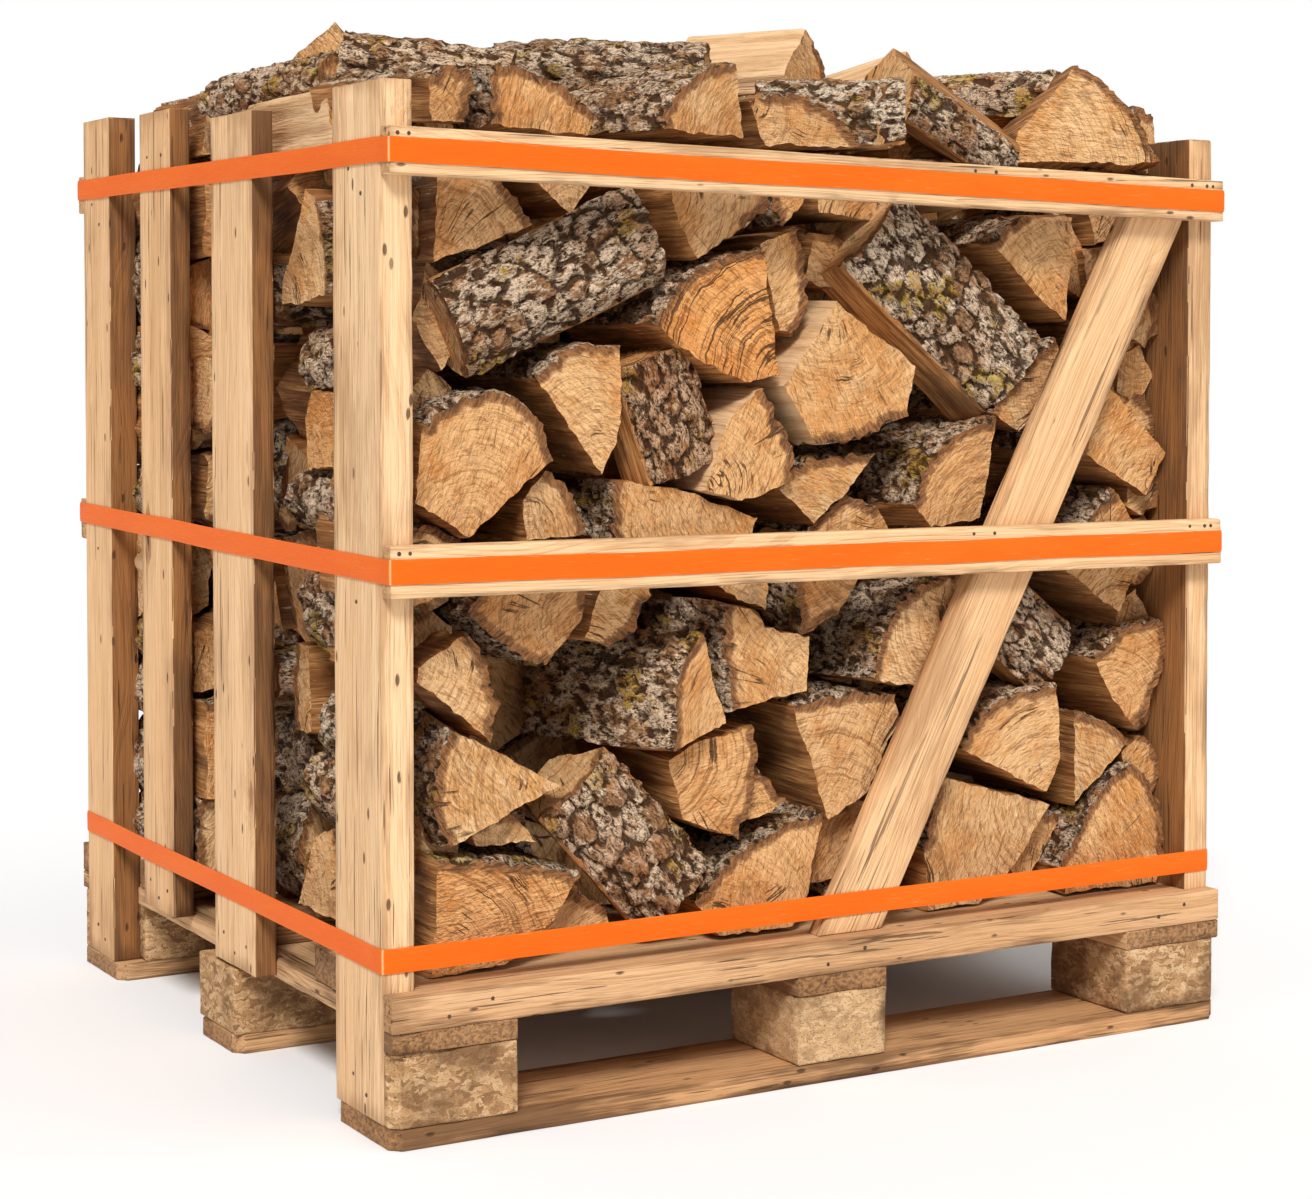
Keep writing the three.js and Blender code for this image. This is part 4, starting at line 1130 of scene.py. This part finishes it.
def near_column(turn, stand):
    """The logs between the near post and the first slat on the left, seen from outside."""
    ends_out = [
        (8, [(197, 990), (226, 925), (222, 884)],
         [(152, 876), (92, 874), (90, 902), (128, 946), (160, 1004)]),
        (20, [(240, 690), (250, 735), (225, 772)], [(150, 774), (132, 742), (140, 686)]),
        (22, [(92, 380), (84, 430), (92, 487)], [(136, 486), (142, 384)]),
        (10, [(250, 186), (262, 240), (236, 288)], [(180, 270), (130, 184)]),
        (34, [(96, 176), (90, 230), (124, 250)], [(150, 206), (130, 170)]),
        (60, [(90, 1040), (140, 1046), (250, 1040)], [(256, 1004), (100, 1010)]),
        (56, [(90, 700), (84, 800), (110, 860)], [(124, 780), (126, 690)]),
    ]
    bark_out = [
        (12, (200, 812), 150, 96, 6), (6, (178, 648), 176, 78, -2), (26, (136, 540), 110, 74, 4),
        (10, (204, 506), 130, 84, -8), (14, (222, 402), 110, 96, 10), (8, (204, 322), 146, 84, -4),
        (36, (130, 312), 90, 90, 8), (30, (250, 930), 90, 120, 80), (30, (230, 590), 90, 50, 0),
    ]
    made = []
    for number, (back, bark, split) in enumerate(ends_out):
        bark, split = np.array(bark, float) * MM, np.array(split, float) * MM
        place = turn @ facing_front(-stand + back * MM, bark[:, 0].max(), 0, LOG_LENGTH * MM)
        made.append(log_parts(bark, split, LOG_LENGTH * MM, 520 + number, 0.007, 0.010, place))
    for number, (back, (x, z), long, wide, slope) in enumerate(bark_out):
        bark, split = half_round(wide * MM, 0.10)
        middle = Vector((x * MM, -stand + back * MM + 0.043, z * MM))
        spin = Matrix.Rotation(math.radians(-slope), 4, "Y") @ Matrix.Rotation(math.radians(90), 4, "Z")
        centred = Matrix.Translation((0, long * MM / 2, 0)) @ UPRIGHT
        place = turn @ Matrix.Translation(middle) @ spin @ centred
        plate_size = (0.024, 0.030)
        made.append(log_parts(bark, split, long * MM, 540 + number, 0.006, 0.008, place, plate_size))
    return made


HEAP_LOW, HEAP_HIGH = 0.162, 1.050
SHORT_LOG = 0.225
sides = {
    # outward heading, how far the shown ends stand out, left and right edges seen from outside
    "rear": (180.0, 0.447, -0.514, 0.514, 0.010, 0.018),
    "left": (-90.0, 0.514, -0.214, 0.086, 0.009, 0.014),
    "right": (90.0, 0.514, -0.214, 0.214, 0.009, 0.016),
}
for order, (side, (heading, stand, start, end, step, stride)) in enumerate(sides.items()):
    rng = np.random.default_rng(order + 11)
    turn = Matrix.Rotation(math.radians(heading), 4, "Z")
    group = []
    for number, cell in enumerate(cells(end - start, HEAP_HIGH - HEAP_LOW, 0.106, order + 5)):
        cell = cell + (start, HEAP_LOW)
        seed = 300 + 100 * order + number
        back = rng.uniform(0.0, 0.045) if rng.random() < 0.75 else rng.uniform(0.05, 0.09)
        low, high = cell.min(axis=0), cell.max(axis=0)
        if rng.random() < (0.22 if side == "rear" else 0.45):
            # lies level behind the slats with its bark outwards
            length = (high[0] - low[0]) * 1.12
            wide = (high[1] - low[1]) * 1.02
            bark, split = half_round(wide, 0.11)
            middle = Vector(((low[0] + high[0]) / 2, -stand + back + 0.047, (low[1] + high[1]) / 2))
            spin = Matrix.Rotation(math.radians(rng.uniform(-16, 16)), 4, "Y")
            flat = Matrix.Rotation(math.radians(90), 4, "Z")
            shift = Matrix.Translation((0, length / 2, 0))
            place = turn @ Matrix.Translation(middle) @ spin @ flat @ shift @ UPRIGHT
            if rng.random() < 0.3:
                bark, split = split[:0], np.vstack([bark[:1], bark[2:3], bark[4:], split])
        else:
            bark, split = cut_wedge(cell, rng, rng.uniform(0.002, 0.009))
            length = LOG_LENGTH * MM
            place = turn @ facing_front(-stand + back, cell[:, 0].max(), rng.uniform(-3, 3), length)
        group.append(log_parts(bark, split, length, seed, step, stride, place))
    if side == "left":
        group.extend(near_column(turn, stand))
    half = (len(group) + 1) // 2
    for part, share in (("low", group[:half]), ("high", group[half:])):
        add_logs("logs_" + side + "_" + part, share, ["logs_inside"])

# logs lying along the crate close its corners
group = []
rng = np.random.default_rng(53)
corner_stacks = (
    # middle (X, Y), heading, length
    (-0.500, 0.335, 0.0, 0.200), (0.498, 0.335, 180.0, 0.200), (0.498, -0.330, 180.0, 0.190),
    (-0.462, -0.335, 0.0, 0.120),
)
for x, y, heading, reach in corner_stacks:
    level = 0.166
    while level < 1.04:
        high = rng.uniform(0.070, 0.112)
        bark, split = half_round(high * 1.06, rng.uniform(0.055, 0.070))
        if rng.random() < 0.2:
            bark, split = split[:0], np.vstack([bark[:1], bark[2:3], bark[4:], split])
        length = reach * rng.uniform(0.86, 1.0)
        middle = Vector((x, y + rng.uniform(-0.014, 0.014), level + high / 2))
        place = laid(middle, heading, rng.uniform(-5, 5), rng.uniform(-9, 9), length)
        tone = 0.5 if y < 0 and x < 0 else None
        group.append(
            log_parts(bark, split, length, 640 + len(group), 0.008, 0.011, place, tone=tone)
        )
        level += high
add_logs("logs_corners", group, ["logs_inside"])

group = []
rng = np.random.default_rng(31)
for number, cell in enumerate(cells(0.66, HEAP_HIGH - HEAP_LOW, 0.11, 21)):
    bark, split = cut_wedge(cell + (-0.33, HEAP_LOW), rng, 0.001)
    place = facing_front(-0.217, 0.0, 0.0, 0.43)
    group.append(log_parts(bark, split, 0.43, 700 + number, 0.014, 0.05, place))
add_logs("logs_middle", group, ["logs_inside"])


# ---- split logs: the heap on top ----
# The heap stands above the rails. Each row gives a log's middle (X, Y, Z), heading, tilt, roll
# and length, then its bark and corners round that middle, and its tone. Smaller ones fill the rest.
heap = {
    "wall_top_bark": ((-482, -40, 1126), 3, -1, 0, 330,
                      [(-8, -30), (-34, -14), (-36, 8), (-12, 30), (24, 32)], [(50, -10)], 0.9),
    "wall_top_pale": ((-470, -112, 1076), 0, 0, 0, 270, [(20, 44), (50, 20), (52, -20)],
                      [(-38, -28), (-44, 34)], 0.02),
    "wall_top_far": ((-466, 270, 1108), -3, 0, 0, 235, [(-30, 30), (0, 38), (34, 26)],
                     [(30, -40), (-38, -46)], 0.9),
    "corner_brown": ((-470, -322, 1092), 8, 2, 0, 235,
                     [(-34, 20), (-8, 33), (24, 30), (30, 8), (18, -26)], [(-26, -26)], 0.62),
    "bark_across_left": ((-392, -246, 1134), 58, 7, 0, 190,
                         [(-44, -22), (-50, 6), (-30, 28), (4, 36), (40, 22)], [(20, -40)], 0.95),
    "pyramid": ((-409, 5, 1163), -30, 0, 0, 150, [(-45, -35), (-50, -24), (-47, -12)],
                [(19, 41), (45, 4), (41, -35)], 0.55),
    "bark_high": ((-166, -238, 1138), 54, 1, 0, 250,
                  [(-50, -26), (-60, 8), (-36, 36), (6, 44), (48, 28)], [(20, -50)], 0.5),
    "roof_log": ((104, -122, 1182), 28, 0, 0, 170, [(56, -50), (52, -12), (28, 20)],
                 [(2, 37), (-56, -24), (-50, -46)], 0.02),
    "flat_split": ((217, -153, 1117), 38, -13, 0, 220, [(50, -30), (10, -50), (-40, -40)],
                   [(-56, 6), (0, 52), (46, 24)], 0.04),
    "log_top_quarter": ((441, -330, 1089), -16, -7, 0, 190,
                        [(-14, 69), (25, 43), (62, 5), (92, -50)],
                        [(55, -53), (-100, -56), (-96, -14)], 0.30),
    "bark_beside": ((64, -372, 1092), 60, -1, 0, 170,
                    [(-42, -34), (-52, 0), (-38, 34), (2, 46), (30, 36)], [(40, -30)], 0.10),
    "bark_right": ((384, -236, 1132), 34, 0, 0, 210, [(-42, -20), (-44, 14), (-16, 38), (20, 36)],
                   [(36, -14), (0, -44)], 0.96),
}
for order, (name, (middle, heading, tilt, roll, length, bark, split, tone)) in enumerate(heap.items()):
    place = laid(Vector(middle) * MM, heading, tilt, roll, length * MM)
    parts = log_parts(
        np.array(bark, float) * MM, np.array(split, float) * MM, length * MM,
        order + 800, 0.005, 0.006, place, (0.024, 0.036), tone,
    )
    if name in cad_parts:
        add_logs(name + "_split", [parts], [name])
    else:
        add_logs("log_heap_" + name, [parts], ["logs_on_top"])

rng = np.random.default_rng(77)
group = []
for layer, (left, front, right, rear, level, spacing) in enumerate((
    (-0.500, -0.190, 0.500, 0.440, 1.085, 0.105), (-0.300, -0.040, 0.400, 0.330, 1.140, 0.115),
)):
    columns = round((right - left) / spacing)
    rows = max(1, round((rear - front) / 0.215))
    for row in range(rows):
        for column in range(columns):
            x = left + (column + 0.5) * (right - left) / columns + rng.uniform(-0.012, 0.012)
            y = front + (row + 0.5) * (rear - front) / rows + rng.uniform(-0.015, 0.015)
            size = spacing * rng.uniform(0.40, 0.52)
            corners = np.sort(rng.uniform(0, 2 * math.pi, 5) * 0.3 + np.arange(5) * 2 * math.pi / 5)
            cell = np.stack([np.cos(corners), np.sin(corners)], 1) * size
            bark, split = cut_wedge(cell, rng, 0.001)
            heading = rng.uniform(-22, 22) + (70 if rng.random() < 0.2 else 0)
            roll = rng.uniform(0, 360)
            tilt = rng.uniform(-5, 5)
            lift = level + rng.uniform(-0.012, 0.010) - (0.012 if abs(x) > 0.40 else 0.0)
            place = laid(Vector((x, y, lift)), heading, tilt, roll, SHORT_LOG)
            group.append(log_parts(bark, split, SHORT_LOG, 850 + len(group), 0.007, 0.010, place))
third = len(group) // 3
for part, share in enumerate((group[:third], group[third : 2 * third], group[2 * third :])):
    add_logs("logs_heap_" + str(part + 1), share, ["logs_on_top"])


# ---- bands ----
# Three flat orange plastic bands pulled tight round the crate. They are ribbed lengthwise, turn a
# tight corner at each post, and bow out and wave a little here and there along their length.
def band_figure():
    takes = {"Body": "Color", "Worn": "Color"}
    tree, given, result = start_group("band_figure", takes, surface_outputs)
    place = put(tree, "ShaderNodeAttribute", attribute_name="place").outputs["Vector"]
    parts = put(tree, "ShaderNodeSeparateXYZ", {0: place}).outputs
    ribs = calc(tree, "SINE", calc(tree, "MULTIPLY", parts[1], 2900.0))
    scuffs = noise(tree, place, (26.0, 420.0, 1.0), 2.0, 4.0, 0.6)
    clouds = noise(tree, place, (7.0, 30.0, 1.0), 5.0, 3.0)
    corner = put(tree, "ShaderNodeAttribute", attribute_name="crease").outputs["Fac"]
    color = blend(tree, fade(tree, clouds, 0.35, 0.65, 0.0, 0.5), given["Body"], given["Worn"])
    color = blend(tree, fade(tree, ribs, -1.0, 1.0, 0.07, 0.0), color, (0.45, 0.10, 0.015))
    color = blend(tree, fade(tree, scuffs, 0.60, 0.72, 0.0, 0.22), color, (1.0, 0.50, 0.22))
    color = blend(tree, calc(tree, "MULTIPLY", corner, 0.75), color, (1.0, 0.60, 0.30))
    tree.links.new(color, result["Color"])
    tree.links.new(fade(tree, scuffs, 0.3, 0.7, 0.40, 0.55), result["Roughness"])
    height = calc(tree, "ADD", calc(tree, "MULTIPLY", ribs, 0.25), scuffs)
    tree.links.new(height, result["Height"])
    return tree


orange_band = finished(
    "orange_band", band_figure(),
    {"Body": (0.83, 0.132, 0.005, 1), "Worn": (0.87, 0.165, 0.010, 1)},
    0.00035, {"Specular IOR Level": 0.12},
)
BAND_WIDE = 0.026
BAND_THICK = 0.0012
bands = {
    # name: level of the lower edge at the left front, half depth, fall to the right, rise to the rear
    "band_top": (1.014, 0.5006, 0.024, 0.006),
    "band_middle": (0.583, 0.5006, 0.008, 0.008),
    "band_bottom": (0.180, 0.4786, 0.0, 0.0),
}
BAND_HALF_WIDTH = 0.5556
BAND_CORNER = 0.003
BAND_ROWS = 7
for order, (node, (base, half_deep, fall, rise)) in enumerate(bands.items()):
    path = []
    crease = []
    wide, deep = BAND_HALF_WIDTH - BAND_CORNER, half_deep - BAND_CORNER
    for corner, (sx, sy) in enumerate(((-1, -1), (1, -1), (1, 1), (-1, 1))):
        first = math.pi + corner * math.pi / 2
        for step in range(5):
            angle = first + step * math.pi / 8
            out, aside = BAND_CORNER * math.cos(angle), BAND_CORNER * math.sin(angle)
            path.append((sx * wide + out, sy * deep + aside))
            crease.append(1.0 if step == 2 else 0.0)
        nx, ny = ((1, -1), (1, 1), (-1, 1), (-1, -1))[corner]
        a = np.array(path[-1])
        b = np.array((nx * wide if sy == ny else nx * BAND_HALF_WIDTH,
                      ny * deep if sx == nx else ny * half_deep))
        for t in np.linspace(0, 1, 46, endpoint=False)[1:]:
            path.append(tuple(a + (b - a) * t))
            crease.append(0.0)
    path = np.array(path)
    count = len(path)
    ahead = np.roll(path, -1, 0) - np.roll(path, 1, 0)
    out = np.stack([ahead[:, 1], -ahead[:, 0]], 1) / np.linalg.norm(ahead, axis=1)[:, None]
    along = np.concatenate([[0], np.cumsum(np.linalg.norm(np.diff(path, axis=0), axis=1))])
    wave = lumps(np.stack([along * 7, along * 0, along * 0 + order], 1), 61 + order)
    base_line = base - fall * (path[:, 0] + BAND_HALF_WIDTH) / (2 * BAND_HALF_WIDTH)
    base_line += rise * (path[:, 1] + half_deep) / (2 * half_deep) + 0.0009 * wave
    levels = np.linspace(0, 1, BAND_ROWS)
    outline = [(BAND_THICK, level) for level in levels] + [(0.0001, level) for level in levels[::-1]]
    points = []
    places = []
    creases = []
    for push, level in outline:
        curl = 0.00035 * lumps(np.stack([along * 11, along * 0 + level * 2, along * 0], 1), 71 + order)
        soft = push * (0.55 if level in (0.0, 1.0) and push > 0.001 else 1.0)
        ring = path + out * (soft + (np.abs(curl) if push > 0.001 else 0 * curl))[:, None]
        points.append(np.column_stack([ring, base_line + level * BAND_WIDE]))
        places.append(np.column_stack([along, np.full(count, level * BAND_WIDE), 0 * along]))
        creases.append(np.array(crease))
    points = np.vstack(points)
    rings = len(outline)
    i = np.arange(count)
    quads = []
    for ring in range(rings):
        a, b = ring * count, (ring + 1) % rings * count
        quads.append(np.stack([a + i, a + np.roll(i, -1), b + np.roll(i, -1), b + i], 1))
    mesh = bpy.data.meshes.new(node + "_strap")
    mesh.from_pydata(points.tolist(), [], np.vstack(quads).tolist())
    mesh.materials.append(orange_band)
    add_numbers(mesh, "place", "FLOAT_VECTOR", "POINT", np.vstack(places))
    add_numbers(mesh, "crease", "FLOAT", "POINT", np.concatenate(creases))
    mesh.polygons.foreach_set("use_smooth", np.ones(len(mesh.polygons), bool))
    mesh.set_sharp_from_angle(angle=math.radians(50.0))
    stand_in(node + "_strap", mesh, [node])


# ---- nails ----
# Round wire nails at the joints of the boards, rusty brown, their heads just proud of the wood.
nail_metal = bpy.data.materials.new("nail_metal")
nail_metal.use_nodes = True
tree = nail_metal.node_tree
surface = tree.nodes["Principled BSDF"]
surface.inputs["Metallic"].default_value = 0.5
spot = put(tree, "ShaderNodeTexCoord").outputs["Object"]
rust = put(tree, "ShaderNodeTexNoise", {"Vector": spot, "Scale": 480.0, "Detail": 4.0}).outputs["Fac"]
tree.links.new(
    shades(tree, rust, (0.35, (0.05, 0.028, 0.016)), (0.65, (0.16, 0.10, 0.07))),
    surface.inputs["Base Color"],
)
tree.links.new(fade(tree, rust, 0.3, 0.7, 0.5, 0.85), surface.inputs["Roughness"])


def nail_places():
    """Each nail's place and the way its head faces."""
    places = []
    for side, way in (("left", -1), ("right", 1)):
        for slat in ("near", "far"):
            low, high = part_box("slat_" + side + "_" + slat)
            face = low[0] if way < 0 else high[0]
            middle = (low[1] + high[1]) / 2
            span = high[1] - low[1]
            for share, level in ((-0.28, 0.030), (0.0, 0.016), (0.27, 0.034)):
                places.append(((face, middle + share * span, low[2] + level), (way, 0, 0)))
            for share in (-0.22, 0.24):
                places.append(((face, middle + share * span, high[2] - 0.055), (way, 0, 0)))
        for post in ("front", "rear"):
            low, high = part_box("post_" + post + "_" + side)
            face = low[0] if way < 0 else high[0]
            span = high[1] - low[1]
            for share, level in (
                (0.35, 0.045), (0.62, 0.06), (0.4, 0.985), (0.66, 1.012), (0.52, 0.560),
            ):
                places.append(((face, low[1] + share * span, level), (way, 0, 0)))
    for rail in ("top", "middle"):
        for end, way in (("front", -1), ("rear", 1)):
            low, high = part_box("rail_" + rail + "_" + end)
            face = low[1] if way < 0 else high[1]
            fall = 0.024 if rail == "top" else 0.008
            half = 0.555
            for x in (-0.545, -0.533, 0.505, 0.528, 0.538, -0.18 * way, 0.21):
                drop = fall * (x + half) / (2 * half)
                places.append(((x, face, high[2] - 0.0075 - drop), (0, way, 0)))
    for end, way in (("front", -1), ("rear", 1)):
        low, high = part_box("deck_board_" + end)
        face = low[1] if way < 0 else high[1]
        for x in (-0.49, -0.44, -0.02, 0.03, 0.46, 0.50):
            places.append(((x, face, 0.139 + 0.008 * math.sin(x * 40)), (0, way, 0)))
    return places


work = bmesh.new()
for number, (place, way) in enumerate(nail_places()):
    turn = Vector((0, 0, 1)).rotation_difference(Vector(way)).to_matrix().to_4x4()
    head = Matrix.Translation(Vector(place)) @ turn
    made = bmesh.ops.create_cone(
        work, cap_ends=True, segments=10, radius1=0.0026, radius2=0.0019, depth=0.0012, matrix=head
    )
    for vertex in made["verts"]:
        vertex.co += 0.00025 * Vector((math.sin(number * 3.1), math.cos(number * 1.7), 0))
nails = bpy.data.meshes.new("nails")
work.to_mesh(nails)
work.free()
nails.materials.append(nail_metal)
stand_in("nails", nails, [])


# ---- floor and light ----
# A white floor and a white studio, with a main light from the camera's side and a weak, wider one.
floor_mesh = bpy.data.meshes.new("floor")
floor_mesh.from_pydata([(-30, -30, 0), (30, -30, 0), (30, 30, 0), (-30, 30, 0)], [], [(0, 1, 2, 3)])
floor = bpy.data.objects.new("floor", floor_mesh)
bpy.context.collection.objects.link(floor)
paper = bpy.data.materials.new("paper")
paper.use_nodes = True
paper.node_tree.nodes["Principled BSDF"].inputs["Base Color"].default_value = (0.9, 0.9, 0.9, 1)
paper.node_tree.nodes["Principled BSDF"].inputs["Roughness"].default_value = 0.9
paper.node_tree.nodes["Principled BSDF"].inputs["Specular IOR Level"].default_value = 0.0
floor_mesh.materials.append(paper)
floor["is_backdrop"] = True

for name, strength, azimuth, elevation, spread in (
    ("key", 2.9, -34.0, 44.0, 16.0), ("side", 0.4, 40.0, 35.0, 60.0),
):
    light = bpy.data.lights.new(name, "SUN")
    light.energy = strength
    light.angle = math.radians(spread)
    lamp = bpy.data.objects.new(name, light)
    lamp.rotation_euler = (math.radians(90.0 - elevation), 0.0, math.radians(azimuth))
    bpy.context.collection.objects.link(lamp)

world = bpy.data.worlds.new("studio")
world.use_nodes = True
tree = world.node_tree
seen = put(tree, "ShaderNodeLightPath").outputs["Is Camera Ray"]
sky = tree.nodes["Background"]
sky.inputs["Color"].default_value = (1, 1, 1, 1)
tree.links.new(fade(tree, seen, 0.0, 1.0, 0.44, 1.0), sky.inputs["Strength"])
bpy.context.scene.world = world
bpy.context.scene.view_settings.view_transform = "Standard"

low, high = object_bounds()
